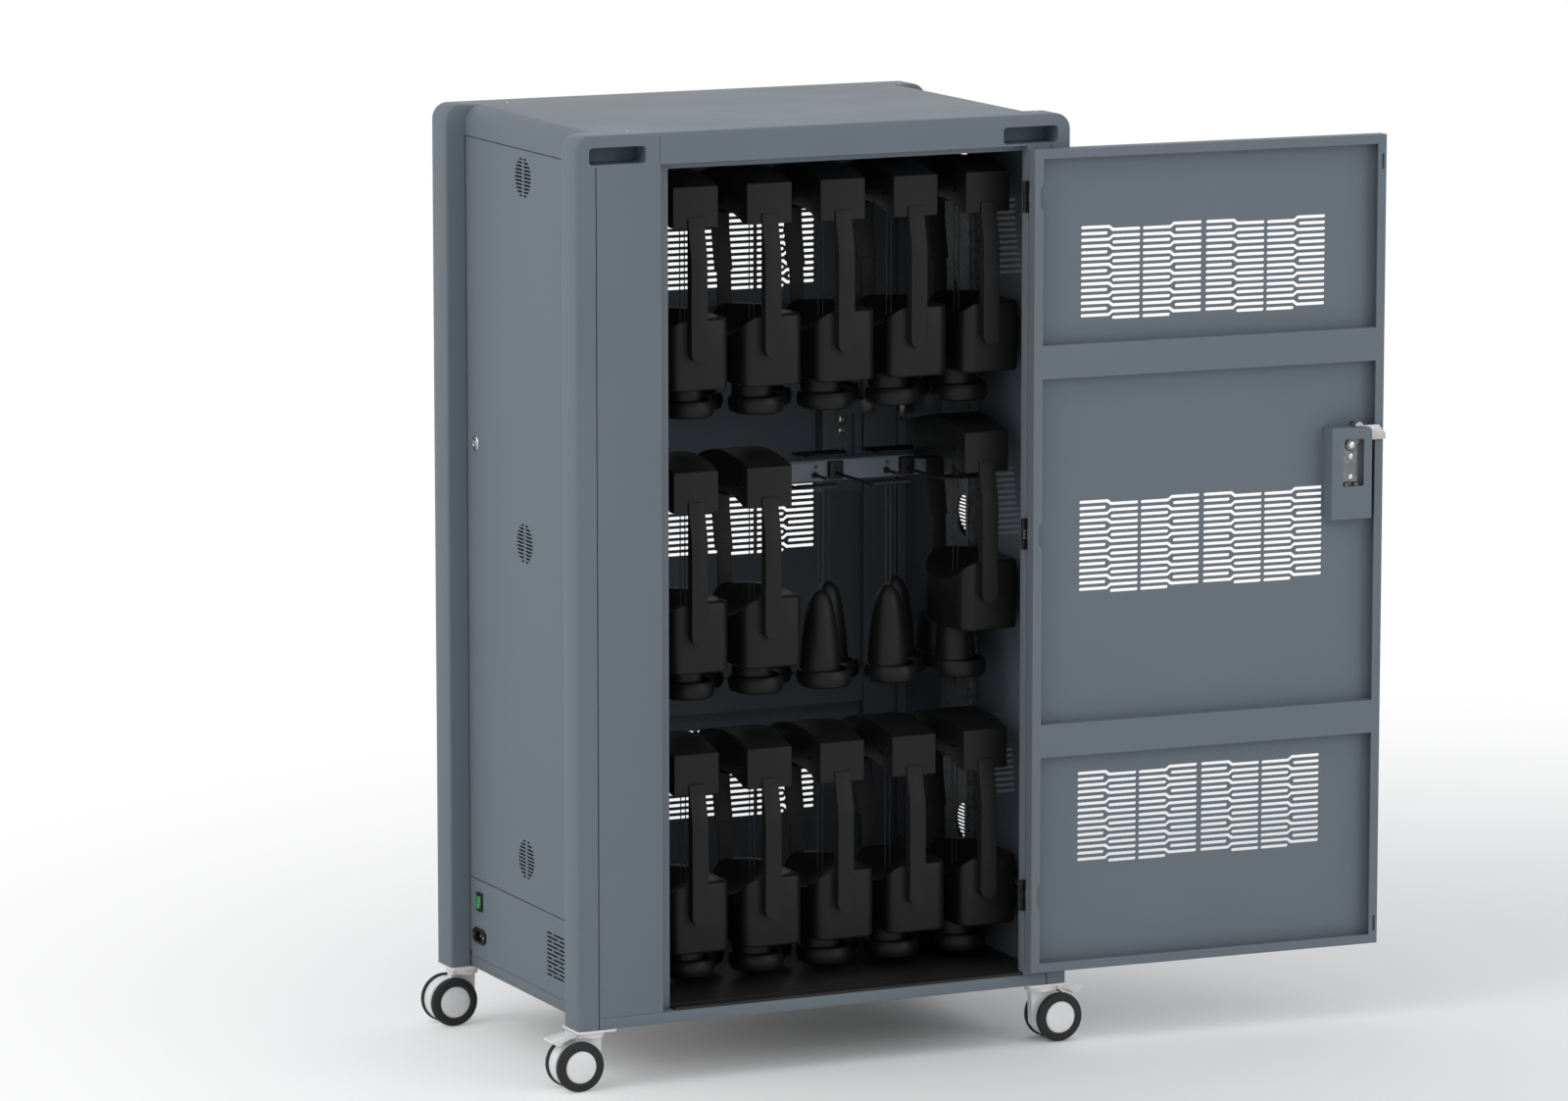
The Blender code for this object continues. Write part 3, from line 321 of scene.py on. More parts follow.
def addNode(tree, kind, links=(), **settings):
    node = tree.nodes.new(kind)
    for key, value in settings.items():
        setattr(node, key, value)
    for socket, source in links:
        if hasattr(source, "is_output"):
            tree.links.new(source, node.inputs[socket])
        else:
            node.inputs[socket].default_value = source
    return node


def mixColours(tree, factor, first, second):
    node = tree.nodes.new("ShaderNodeMix")
    node.data_type = "RGBA"
    for place, source in ((0, factor), (6, first), (7, second)):
        if hasattr(source, "is_output"):
            tree.links.new(source, node.inputs[place])
        else:
            node.inputs[place].default_value = source
    return node.outputs[2]


colourKind, numberKind = "NodeSocketColor", "NodeSocketFloat"
groupOutputs = [("Colour", colourKind), ("Roughness", numberKind), ("Height", numberKind)]


# tones spread by mixed, roughness by roughBy
def closeGroup(group, start, end, mixed, span, roughBy, height):
    spread = addNode(group, "ShaderNodeMapRange",
                     [("Value", mixed), ("From Min", span[0]), ("From Max", span[1])])
    rough = addNode(group, "ShaderNodeMapRange", [("Value", roughBy), ("From Min", 0.3), ("From Max", 0.7),
                                                  ("To Min", start.outputs["Rough Low"]),
                                                  ("To Max", start.outputs["Rough High"])])
    colour = mixColours(group, spread.outputs[0], start.outputs["Tone"], start.outputs["Second Tone"])
    for source, socket in ((colour, "Colour"), (rough.outputs[0], "Roughness"), (height, "Height")):
        group.links.new(source, end.inputs[socket])
    return group


def makeCoatGroup():  # sprayed or moulded surface: slow tone drift and fine grain
    group, start, end = newGroup("coatGrain", [
        ("Tone", colourKind, (0.5, 0.5, 0.5, 1)), ("Second Tone", colourKind, (0.5, 0.5, 0.5, 1)),
        ("Grain Scale", numberKind, 900.0), ("Drift Scale", numberKind, 6.0),
        ("Rough Low", numberKind, 0.4), ("Rough High", numberKind, 0.5)], groupOutputs)
    place = addNode(group, "ShaderNodeTexCoord").outputs["Object"]
    grain = addNode(group, "ShaderNodeTexNoise",
                    [("Vector", place), ("Scale", start.outputs["Grain Scale"]), ("Detail", 2.0),
                     ("Roughness", 0.55)]).outputs["Fac"]
    drift = addNode(group, "ShaderNodeTexNoise",
                    [("Vector", place), ("Scale", start.outputs["Drift Scale"]), ("Detail", 4.0),
                     ("Roughness", 0.6)]).outputs["Fac"]
    both = addNode(group, "ShaderNodeMath", [(0, drift), (1, grain)], operation="ADD")
    return closeGroup(group, start, end, both.outputs[0], (0.65, 1.35), drift, grain)


def makeMetalGroup():  # rolled or brushed metal: long scratches and crystal patches
    group, start, end = newGroup("metalGrain", [
        ("Tone", colourKind, (0.6, 0.6, 0.6, 1)), ("Second Tone", colourKind, (0.5, 0.5, 0.5, 1)),
        ("Patch Scale", numberKind, 60.0), ("Scratch Scale", numberKind, 400.0),
        ("Rough Low", numberKind, 0.3), ("Rough High", numberKind, 0.45)], groupOutputs)
    place = addNode(group, "ShaderNodeTexCoord").outputs["Object"]
    patch = addNode(group, "ShaderNodeTexVoronoi",
                    [("Vector", place), ("Scale", start.outputs["Patch Scale"])])
    cell = addNode(group, "ShaderNodeSeparateColor", [("Color", patch.outputs["Color"])])
    drawn = addNode(group, "ShaderNodeMapping", [("Vector", place), ("Scale", (1.0, 1.0, 0.06))])
    scratch = addNode(group, "ShaderNodeTexNoise",
                      [("Vector", drawn.outputs[0]), ("Detail", 2.0),
                       ("Scale", start.outputs["Scratch Scale"])]).outputs["Fac"]
    both = addNode(group, "ShaderNodeMath", [(0, cell.outputs[0]), (1, scratch)], operation="MULTIPLY")
    return closeGroup(group, start, end, both.outputs[0], (0.0, 0.6), scratch, scratch)


effects = {"coat": (makeCoatGroup(), "Grain Scale", "Drift Scale"),
           "metal": (makeMetalGroup(), "Patch Scale", "Scratch Scale")}


def newFinish(name, kind, tones, rough, scales, metallic=0.0, specular=0.5, bump=0.08, coat=0.0):
    material = bpy.data.materials.new(name)
    material.use_nodes = True
    tree = material.node_tree
    shader = tree.nodes["Principled BSDF"]
    shader.inputs["Metallic"].default_value = metallic
    shader.inputs["Specular IOR Level"].default_value = specular
    shader.inputs["Coat Weight"].default_value = coat
    group, firstScale, secondScale = effects[kind]
    effect = addNode(tree, "ShaderNodeGroup",
                     [("Tone", (*tones[0], 1)), ("Second Tone", (*tones[1], 1)), ("Rough Low", rough[0]),
                      ("Rough High", rough[1]), (firstScale, scales[0]), (secondScale, scales[1])],
                     node_tree=group)
    tree.links.new(effect.outputs["Colour"], shader.inputs["Base Color"])
    tree.links.new(effect.outputs["Roughness"], shader.inputs["Roughness"])
    relief = addNode(tree, "ShaderNodeBump", [("Strength", bump), ("Distance", 0.0002),
                                              ("Height", effect.outputs["Height"])])
    tree.links.new(relief.outputs["Normal"], shader.inputs["Normal"])
    return material


# slot, effect, two tones, roughness from and to, the effect's two scales, then what the shader sets itself
finishTable = {
    "slatePaint": ("slate_paint", "coat", ((0.147, 0.174, 0.200), (0.158, 0.186, 0.213)),
                   (0.36, 0.44), (1100, 5), {"specular": 0.05}),
    # darker copy of the slate paint for the cabinet's inside walls: painted shade
    "shadedInnerPaint": ("slate_paint", "coat", ((0.110, 0.130, 0.150), (0.122, 0.144, 0.166)),
                   (0.012, 0.020), (1100, 5), {"specular": 0.036, "bump": 0.0}),
    "zincSheet": ("zinc_sheet", "metal", ((0.17, 0.178, 0.182), (0.27, 0.28, 0.285)),
                  (0.46, 0.58), (150, 300), {"metallic": 0.6}),
    # darker copy of the zinc for the uprights inside the cabinet: painted shade
    "shadedUprightZinc": ("zinc_sheet", "metal", ((0.10, 0.104, 0.107), (0.20, 0.206, 0.21)),
                    (0.46, 0.58), (260, 300), {"metallic": 0.6}),
    "nickel": ("nickel", "metal", ((0.40, 0.392, 0.38), (0.50, 0.49, 0.475)),
               (0.30, 0.42), (40, 900), {"metallic": 1.0, "bump": 0.04}),
    "screwSteel": ("nickel", "metal", ((0.64, 0.63, 0.61), (0.76, 0.75, 0.73)),
                   (0.22, 0.34), (60, 900), {"metallic": 1.0, "bump": 0.03}),
    "blackPlastic": ("black_plastic", "coat", ((0.010, 0.010, 0.0105), (0.015, 0.015, 0.0155)),
                     (0.42, 0.55), (1600, 30), {"specular": 0.2}),
    "headsetShell": ("headset_shell", "coat", ((0.0060, 0.0060, 0.0062), (0.0085, 0.0085, 0.0088)),
                     (0.40, 0.50), (1400, 18), {"specular": 0.22}),
    "strapRubber": ("headset_shell", "coat", ((0.0072, 0.0072, 0.0074), (0.0100, 0.0100, 0.0103)),
                    (0.50, 0.60), (1900, 40), {"specular": 0.22}),
    "cordGrey": ("black_plastic", "coat", ((0.022, 0.022, 0.0225), (0.032, 0.032, 0.0325)),
                 (0.50, 0.60), (2400, 60), {"specular": 0.3}),
    "floorLiner": ("black_plastic", "coat", ((0.012, 0.012, 0.0122), (0.017, 0.017, 0.0172)),
                   (0.40, 0.55), (700, 9), {"specular": 0.35}),
    # near-black, almost unreflecting black for pads and strips behind openings: painted shade
    "shadeBlack": ("black_plastic", "coat", ((0.0025, 0.0025, 0.0027), (0.0038, 0.0038, 0.0040)),
                    (0.80, 0.95), (900, 40), {"specular": 0.02}),
    "switchGreen": ("switch_green", "coat", ((0.008, 0.21, 0.022), (0.02, 0.31, 0.038)),
                    (0.2, 0.3), (600, 60), {"bump": 0.02, "coat": 0.4}),
    "casterWhite": ("caster_white", "coat", ((0.74, 0.745, 0.75), (0.80, 0.805, 0.81)),
                    (0.32, 0.42), (900, 25), {"bump": 0.04}),
    "wheelRubber": ("wheel_rubber", "coat", ((0.022, 0.022, 0.023), (0.030, 0.030, 0.031)),
                    (0.55, 0.7), (1200, 30), {"specular": 0.22}),
}
finishes = {name: newFinish(name, *row[1:5], **row[5]) for name, row in finishTable.items()}
print("finishes made:", len(finishes))


def finishPiece(obj, name, body, finish, nodes=(), move=None):
    takeUp(obj)
    obj.name = obj.data.name = name
    if move is not None:
        obj.data.transform(move)
    obj.data.transform(Matrix.Translation(cartPlace))
    bpy.ops.object.shade_smooth_by_angle(angle=smoothAngle)
    obj.data.materials.clear()
    obj.data.materials.append(finishes[finish])
    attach(obj, body)
    if nodes:
        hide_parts(*nodes)
    return obj


# cover with its ears and hand slots
coverSizes = {"sideRound": 0.024, "frontRound": 0.005, "slot": (0.2885, 0.3785, 1.3645, 1.3897),
              "slotDeep": 0.045, "slotRound": 0.006, "seamX": -0.2667, "seam": (0.0004, 0.0012),
              "earRound": 0.004, "lap": 0.02, "past": 0.01, "highlightDotHole": (0.0050, 0.003),
              "highlightDots": ((-0.297, 0.222), (0.362, 0.232)),
              "highlightDot": [(0.0, -0.0001), (0.0030, -0.0002), (0.0045, -0.0006), (0.0048, -0.0014),
                       (0.0, -0.0014)]}


def makeCover():
    c = coverSizes
    low, top, ear, half, deep = (cabinet[k] for k in ("coverLow", "top", "ear", "half", "deep"))
    lap, past = c["lap"], c["past"]
    cover = addBlock("cover", (-half, -deep + lap, low), (half, deep - lap, top))

    def topRuns(a, b):
        return abs(a.x - b.x) < same and min(a.z, b.z) > top - same

    bevelEdges(cover, topRuns, c["sideRound"], 8)
    for y in (-1, 1):
        rows = span(y, cabinet["postY"], deep)
        bar = addBlock("coverBar", (-ear, rows[0], low), (ear, rows[1], top))
        bevelEdges(bar, topRuns, c["sideRound"], 8)
        bevelEdges(bar, lambda a, b: abs(a.y - y * deep) < same and abs(b.y - y * deep) < same
                   and max(a.z, b.z) > low + same, c["frontRound"], 5)
        bevelEdges(bar, lambda a, b: abs(a.y - rows[0 if y > 0 else 1]) < same and abs(a.y - b.y) < same
                   and max(a.z, b.z) > low + same and min(abs(a.x), abs(b.x)) > half + 0.002, c["earRound"],
                   3)
        cutWith(cover, bar, "UNION")
    x0, x1, z0, z1 = c["slot"]
    for x in (-1, 1):
        for y in (-1, 1):
            cols, rows = span(x, x0, x1), span(y, deep - c["slotDeep"], deep + past)
            tool = addBlock("slotTool", (cols[0], rows[0], z0), (cols[1], rows[1], z1))
            cutWith(cover, bevelEdges(tool, alongY, c["slotRound"], 4))
    wide, sunk = c["seam"]
    for y in (-1, 1):
        rows = span(y, deep - sunk, deep + past)
        cutWith(cover, addBlock("seamTool", (c["seamX"] - wide, rows[0], low - past),
                                (c["seamX"] + wide, rows[1], top - c["frontRound"])))
    # white flush discs near the cover's corners: painted highlights standing in for glints on the top
    highlightDots = []
    for x, inset in c["highlightDots"]:
        for y in (-1, 1):
            place = (x, y * inset, top)
            cutWith(cover, addRod("highlightDotTool", place, "Z", *c["highlightDotHole"], 28))
            highlightDots.append(spinProfile("highlightDot", c["highlightDot"], place, "Z", 28))
    finishPiece(joinAll("highlightDots", highlightDots), "coverHighlightDots", "cabinet", "casterWhite")
    return finishPiece(cover, "coverTop", "cabinet", "slatePaint", ["top_cover"])


# corner posts, each with a lip behind the side panels
postSizes = {"clear": 0.0009, "seam": 0.0010, "wall": 0.0025, "hollow": 0.02, "lip": (0.003, 0.0006),
             "lipEnd": 0.0255, "lipRise": 0.0025, "lipDrop": 0.0004, "near": 0.001}


def makePosts():
    p, near = postSizes, postSizes["near"]
    half, ear, deep, postY = (cabinet[k] for k in ("half", "ear", "deep", "postY"))
    for side, x in (("left", -1), ("right", 1)):
        for end, y in (("front", -1), ("rear", 1)):
            tag = "post_%s_%s" % (end, side)
            cols, rows = span(x, half + p["clear"], ear), span(y, postY, deep)
            post = addBlock("post", (cols[0], rows[0], cabinet["low"]),
                            (cols[1], rows[1], cabinet["coverLow"]))
            bevelEdges(post, lambda a, b: alongZ(a, b) and abs(a.x) > ear - near and abs(a.y) > deep - near,
                       coverSizes["frontRound"], 4)
            bevelEdges(post, lambda a, b: alongZ(a, b) and abs(a.x) > ear - near
                       and abs(a.y) < postY + near, coverSizes["earRound"], 3)
            bevelEdges(post, lambda a, b: alongZ(a, b) and abs(a.x) < half + near, p["seam"], 1)
            sinkFaces(post, lambda c, n: n.z < -0.9, p["wall"], (0, 0, p["hollow"]))
            finishPiece(post, tag + "_shell", "cabinet", "slatePaint", [tag])
            cols = span(x, half - p["lip"][0], half + p["lip"][1])
            rows = span(y, postY + cabinet["gap"], deep - p["lipEnd"])
            lip = addBlock("lip", (cols[0], rows[0], cabinet["floor"] + p["lipRise"]),
                           (cols[1], rows[1], cabinet["coverLow"] - p["lipDrop"]))
            finishPiece(lip, tag + "_lip", "cabinet", "slatePaint")


# face frames round the doorways: broad fascia, narrow jamb and the stop ledge behind the door
frameSizes = {"over": 0.0095, "free": 0.0205, "hinged": -0.004, "ledgeSheet": 0.003, "doorDeep": 0.022,
              "seam": 0.0007, "jambDeep": 0.0188}


def shownEdges(y):  # how far the ledge shows at the left and right of a doorway
    free, hinged = frameSizes["free"], frameSizes["hinged"]
    return (free, hinged) if y < 0 else (hinged, free)


def makeFrame(y, node):
    half, deep = cabinet["half"] - cabinet["gap"], cabinet["deep"]
    low, top = cabinet["sill"], cabinet["coverLow"]
    left, right, over = cabinet["left"], cabinet["right"], top - frameSizes["over"]
    back = deep - frameSizes["doorDeep"] - cabinet["gap"]
    shown = shownEdges(y)
    x0, x1 = left + shown[0], right - shown[1]
    ring = [(-half, low), (x0, low), (x0, over), (x1, over), (x1, low), (half, low), (half, top),
            (-half, top)]
    rows = span(y, back, back - frameSizes["ledgeSheet"])
    pieces = [cutPlate("ledge", ring, [], *rows, "XZ")]
    for x0, x1, hinged in ((-half, left, y > 0), (right, half, y < 0)):
        ends = (back - 0.001, deep - frameSizes["jambDeep"])
        rows = span(y, deep, ends[hinged])
        stile = addBlock("stile", (x0, rows[0], low), (x1, rows[1], top))
        bevelEdges(stile, lambda a, b: alongZ(a, b) and abs(a.y) > deep - 1e-4, frameSizes["seam"], 2)
        pieces.append(stile)
        if hinged:  # the jamb's return steps aside before it meets the ledge
            rows = span(y, ends[1] + 0.0005, back - 0.0005)
            cols = sorted((-half, x1 + frameSizes["hinged"]) if x0 < 0
                          else (half, x0 - frameSizes["hinged"]))
            pieces.append(addBlock("return", (cols[0], rows[0], low + 0.001),
                                   (cols[1], rows[1], top - 0.001)))
    return finishPiece(joinAll("frame", pieces), node + "_shell", "cabinet", "slatePaint", [node])


# base rail and the dark liner on the inside floor, with a tongue into each doorway
baseSizes = {"wall": 0.003, "hollow": 0.012, "edge": 0.0008, "linerIn": 0.0034, "linerEnd": 0.027,
             "linerLow": 0.104, "linerRound": 0.002, "tongue": (0.0035, 0.030), "tongueZ": (0.1093, 0.0008),
             "play": 0.0005}


def makeBase():
    b = baseSizes
    half, deep, floor = cabinet["half"] - cabinet["gap"], cabinet["deep"], cabinet["floor"]
    base = addBlock("base", (-half, -deep, cabinet["low"]), (half, deep, cabinet["sill"] - cabinet["gap"]))
    sinkFaces(base, lambda c, n: n.z < -0.9, b["wall"], (0, 0, b["hollow"]))
    bevelEdges(base, lambda p, q: min(abs(p.x), abs(q.x)) > half - close and abs(p.x - q.x) < same
               or min(abs(p.y), abs(q.y)) > deep - close and abs(p.y - q.y) < same, b["edge"], 2)
    finishPiece(base, "baseRail", "cabinet", "slatePaint", ["base_pan"])
    inset, end = half - b["linerIn"], deep - b["linerEnd"]  # up to the side sheets, so no light gets in
    liner = addBlock("liner", (-inset, -end, b["linerLow"]), (inset, end, floor))
    bevelEdges(liner, lambda p, q: min(p.z, q.z) > floor - close, b["linerRound"], 3)
    pieces = [liner]
    low, drop = b["tongueZ"]
    for y in (-1, 1):
        shown, rows = shownEdges(y), span(y, deep - b["tongue"][0], deep - b["tongue"][1])
        pieces.append(addBlock("tongue", (cabinet["left"] + shown[0] + b["play"], rows[0], low),
                               (cabinet["right"] - shown[1] - b["play"], rows[1], floor - drop)))
    finishPiece(joinAll("liner", pieces), "floorLiner", "cabinet", "floorLiner")


# side panels: service panel with three round vents and a key lock, lower panel with a slot grille
sideSizes = {"edge": 0.2155, "sheet": 0.0012, "low": 0.1099, "seam": 0.231, "return": 0.014,
             "ventZ": (1.3195, 0.774, 0.2965), "ventR": 0.0300, "ventRows": 11, "ventPitch": 0.0054,
             "ventSlot": 0.0029, "ventBar": 0.0024, "lockY": 0.1876, "lockZ": 0.8995, "paint": 0.0004,
             "lip": 0.003, "seamGap": 0.0012, "topGap": 0.0014, "lockHole": 0.0100, "seal": 0.0020,
             "sealEnd": 0.002, "sealLap": 0.006, "sealGap": 0.0002, "pad": (0.0005, 0.0025), "padR": 0.0345,
             "padLap": (0.004, 0.005), "key": ((0.0006, -0.0008, -0.0032), (0.01, 0.0008, 0.0032)),
             "cam": ((-0.0205, -0.007, -0.007), (-0.0175, 0.007, 0.024)), "camRound": 0.005,
             "lockFace": [(0.0, 0.0016), (0.0040, 0.0016), (0.0044, 0.0011), (0.0052, 0.0011),
                          (0.0056, 0.0016), (0.0088, 0.0016), (0.0108, 0.0012), (0.0115, 0.0003),
                          (0.0095, 0.0003), (0.0095, -0.021), (0.0, -0.021)]}
grilleSizes = {"y0": -0.170, "y1": -0.0755, "z0": 0.1385, "rows": 11, "pitch": 0.0063, "slot": 0.0030,
               "run": 0.041, "short": 0.0195, "gap": 0.0045}


def roundVent(z):
    rings = []
    for row in range(sideSizes["ventRows"]):
        rise = (row - (sideSizes["ventRows"] - 1) / 2) * sideSizes["ventPitch"]
        reach = math.sqrt(max(sideSizes["ventR"] ** 2 - rise ** 2, 0)) - sideSizes["ventSlot"] / 2
        near = sideSizes["ventBar"] + sideSizes["ventSlot"] / 2
        for side in (-1, 1):
            rings.append(slotRing([(side * near, z + rise), (side * max(reach, near + 0.0012), z + rise)],
                                  sideSizes["ventSlot"]))
    return rings


def grilleRings():
    g, rings = grilleSizes, []
    for row in range(g["rows"]):
        z, far = g["z0"] + row * g["pitch"], g["y1"]
        run = g["run"] if row % 2 else g["short"]
        while far > g["y0"] + 0.006:
            near = max(far - run, g["y0"])
            rings.append(slotRing([(near + g["slot"] / 2, z), (far - g["slot"] / 2, z)], g["slot"]))
            far, run = near - g["gap"], g["run"]
    return rings


def makeSide(side, x):
    s, top = sideSizes, cabinet["coverLow"]
    half, edge, seam = cabinet["half"] - cabinet["gap"], s["edge"], s["seam"]
    out, inner, fold = x * half, x * (half - s["sheet"]), x * (half - s["return"])
    shadeFace = inner - x * s["paint"]
    service = side + "_service_panel"
    holes = []
    if x < 0:
        holes = grilleRings()
        for fitting in (switchSizes, inletSizes):
            y, z, (wide, tall) = fitting["y"], fitting["z"], fitting["hole"]
            holes.append(rectangle(y - wide, y + wide, z - tall, z + tall))
    cols = sorted((out, inner))
    lower = cutPlate("lower", rectangle(-edge, edge, s["low"], seam - cabinet["gap"]), holes, *cols, "YZ")
    finishPiece(lower, side + "_lower_shell", "cabinet", "slatePaint", [side + "_lower_panel"])

    z0, z1 = seam + s["seamGap"], top - s["topGap"]

    def panelRing(by):  # the service panel's outline drawn in
        return rectangle(-edge + by, edge - by, z0 + by, z1 - by)

    vents = [ring for z in s["ventZ"] for ring in roundVent(z)]
    vents.append(circle(s["lockY"], s["lockZ"], s["lockHole"], 24))
    sheet = cutPlate("sheet", panelRing(0), vents, *cols, "YZ")
    rim = cutPlate("rim", panelRing(0), [panelRing(s["lip"])], *sorted((inner, fold)), "YZ")
    finishPiece(joinAll("panel", [sheet, rim]), side + "_service_shell", service, "slatePaint", [service])

    cols = sorted((inner, shadeFace))  # darker, glossier copy of the slate paint on the inside faces: the darker tone is painted shade for the shaded inside walls
    shadeLining = cutPlate("shadeLining", panelRing(s["lip"] + s["sealGap"]), vents, *cols, "YZ")
    finishPiece(shadeLining, side + "_service_lining", service, "shadedInnerPaint")
    shadeLining = cutPlate("shadeLining", rectangle(-edge, edge, s["low"], seam - s["sealLap"] - 0.0005), holes,
                      *cols, "YZ")
    finishPiece(shadeLining, side + "_lower_lining", "cabinet", "shadedInnerPaint")

    # near-black strips behind the panel seams: painted shade in the seam gaps
    cols, reach = sorted((shadeFace, inner - x * s["seal"])), edge - s["sealEnd"]
    strips = ((seam - s["sealLap"], z0 - s["sealGap"]), (z1 + s["sealGap"], top - s["sealGap"]))
    shadeStrips = [addBlock("seal", (cols[0], -reach, low), (cols[1], reach, high)) for low, high in strips]
    finishPiece(joinAll("shadeStrips", shadeStrips), side + "_seam_shade_strips", "cabinet", "shadeBlack")
    if x < 0:  # near-black pads behind the left vents and the grille: painted shade, so the openings read dark
        g, cols, (lapY, lapZ) = grilleSizes, [inner + step for step in s["pad"]], s["padLap"]
        pads = [cutPlate("pad", circle(0, z, s["padR"], 32), [], *cols, "YZ") for z in s["ventZ"]]
        finishPiece(joinAll("pads", pads), "ventShadePads", "left_service_panel", "shadeBlack")
        high = g["z0"] + (g["rows"] - 1) * g["pitch"] + lapZ
        pad = addBlock("pad", (cols[0], g["y0"] - lapY, g["z0"] - lapZ), (cols[1], g["y1"] + lapY, high))
        finishPiece(pad, "grilleShadePad", "cabinet", "shadeBlack")

    face = spinProfile("lockFace", s["lockFace"], (0, 0, 0), "X", 32)
    cutWith(face, addBlock("keyTool", *s["key"]))
    cam = bevelEdges(addBlock("cam", *s["cam"]), alongX, s["camRound"], 4)
    lock = joinAll("lock", [face, cam])
    if x < 0:
        lock.data.transform(Matrix.Rotation(math.pi, 4, "Z"))
    lock.data.transform(Matrix.Translation((out, s["lockY"], s["lockZ"])))
    finishPiece(lock, side + "_key_lock", side + "_panel_lock", "screwSteel", [side + "_panel_lock"])


# rocker switch and mains inlet on the left lower panel
switchSizes = {"y": 0.180, "z": 0.198, "wide": 0.022, "tall": 0.028, "tilt": 10.0, "rest": 6.0,
               "hole": (0.009, 0.012), "proud": 0.0025, "rim": 0.0037, "can": 0.0024, "canDeep": 0.02,
               "back": (0.003, 0.0105, 0.0215), "rocker": 0.0036, "rockerPlay": (0.0042, 0.0048)}
inletSizes = {"y": 0.181, "z": 0.145, "wide": 0.047, "tall": 0.0228, "hole": (0.0145, 0.0105),
              "proud": 0.0033, "mouth": (0.0120, 0.0070, 0.008, 0.003), "cut": (0.009, 0.006),
              "shell": (0.0142, 0.0102, 0.026), "back": (0.0139, 0.0099, 0.018, 0.0275),
              "pins": ((-0.007, -0.002), (0.0, 0.002), (0.007, -0.002)),
              "pin": (0.001, 0.002, 0.003, 0.0185), "screwY": 0.0195,
              "screw": [(0, -0.0036), (0.0022, -0.0034), (0.0028, -0.0029), (0.0016, -0.0026),
                        (0.0016, 0.002), (0, 0.002)]}


def makeSwitch(out):
    s, gap = switchSizes, cabinet["gap"]
    y, z, w, h = s["y"], s["z"], s["wide"] / 2, s["tall"] / 2

    def inset(by):  # the switch's outline drawn in
        return y - w + by, y + w - by, z - h + by, z + h - by

    well = rectangle(*inset(s["rim"]))
    bezel = cutPlate("bezel", roundRectangle(*inset(0), 0.002, 3), [well], out - s["proud"], out - gap,
                     "YZ")
    bevelEdges(bezel, lambda a, b: max(a.x, b.x) < out - s["proud"] + 1e-4, 0.0005, 2)
    can = cutPlate("can", rectangle(*inset(s["can"])), [well], out - 2 * gap, out + s["canDeep"], "YZ")
    edge, near, far = s["back"]
    y0, y1, z0, z1 = inset(edge)
    back = addBlock("canBack", (out + near, y0, z0), (out + far, y1, z1))
    bevelEdges(back, lambda a, b: min(a.x, b.x) > out + s["canDeep"], 0.0008, 2)
    finishPiece(joinAll("bezel", [bezel, can, back]), "switchBezel", "cabinet", "blackPlastic",
                ["switch_bezel"])

    playWide, playTall = s["rockerPlay"]
    half, slope, width = h - playTall, math.tan(math.radians(s["tilt"])), w - playWide

    def face(t):  # on the rocker's two sloping halves
        return (-s["rocker"] - half * slope * abs(t), half * t)

    shape = [face(0.0), face(0.5), face(1.0), (0.003, half), (0.005, 0.0), (0.003, -half), face(-1.0),
             face(-0.5)]
    rocker = cutPlate("rocker", shape, [], y - width, y + width, "XZ")
    bevelEdges(rocker, lambda a, b: max(a.x, b.x) < -0.003 and abs(a.y - b.y) < same, 0.0006, 2)
    turn = Matrix.Rotation(math.radians(s["rest"]), 4, "Y")
    rocker.data.transform(Matrix.Translation((out, 0, z)) @ turn)
    finishPiece(rocker, "switchRocker", "power_switch", "switchGreen", ["switch_rocker"])


def makeInlet(out):
    n = inletSizes
    y, z, w, h = n["y"], n["z"], n["wide"] / 2, n["tall"] / 2
    wide, slim, tall, knee = n["mouth"]
    mouth = [(y - wide, z - tall), (y + wide, z - tall), (y + wide, z + knee), (y + slim, z + tall),
             (y - slim, z + tall), (y - wide, z + knee)]
    cutY, cutZ = n["cut"]
    outline = [(y - w, z - cutZ), (y - w + cutY, z - h), (y + w - cutY, z - h), (y + w, z - cutZ),
               (y + w, z + cutZ), (y + w - cutY, z + h), (y - w + cutY, z + h), (y - w, z + cutZ)]
    holes = [mouth] + [circle(y + side * n["screwY"], z, 0.0017, 12) for side in (-1, 1)]
    flange = cutPlate("flange", outline, holes, out - n["proud"], out - cabinet["gap"], "YZ")
    bevelEdges(flange, lambda a, b: max(a.x, b.x) < out - n["proud"] + 1e-4 and (
        max(abs(a.y - y), abs(b.y - y)) > 0.0215 or min(abs(a.z - z), abs(b.z - z)) > h - 1e-4), 0.0009, 2)
    wide, tall, deep = n["shell"]
    shell = cutPlate("shell", rectangle(y - wide, y + wide, z - tall, z + tall), [mouth], out - 0.001,
                     out + deep, "YZ")
    wide, tall, near, far = n["back"]
    back = addBlock("socketBack", (out + near, y - wide, z - tall), (out + far, y + wide, z + tall))
    bevelEdges(back, lambda a, b: min(a.x, b.x) > out + far - 0.0005, 0.001, 2)
    finishPiece(joinAll("inlet", [flange, shell, back]), "mainsInlet", "cabinet", "blackPlastic",
                ["power_inlet"])
    pins = []
    wide, tall, near, far = n["pin"]
    for dy, dz in n["pins"]:
        pin = addBlock("pin", (out + near, y + dy - wide, z + dz - tall),
                       (out + far, y + dy + wide, z + dz + tall))
        pins.append(bevelEdges(pin, lambda a, b: max(a.x, b.x) < out + near + 1e-4, 0.0006, 2))
    for side in (-1, 1):
        pins.append(spinProfile("inletScrew", n["screw"], (out, y + side * n["screwY"], z), "X", 16))
    finishPiece(joinAll("pins", pins), "inletPins", "cabinet", "nickel")


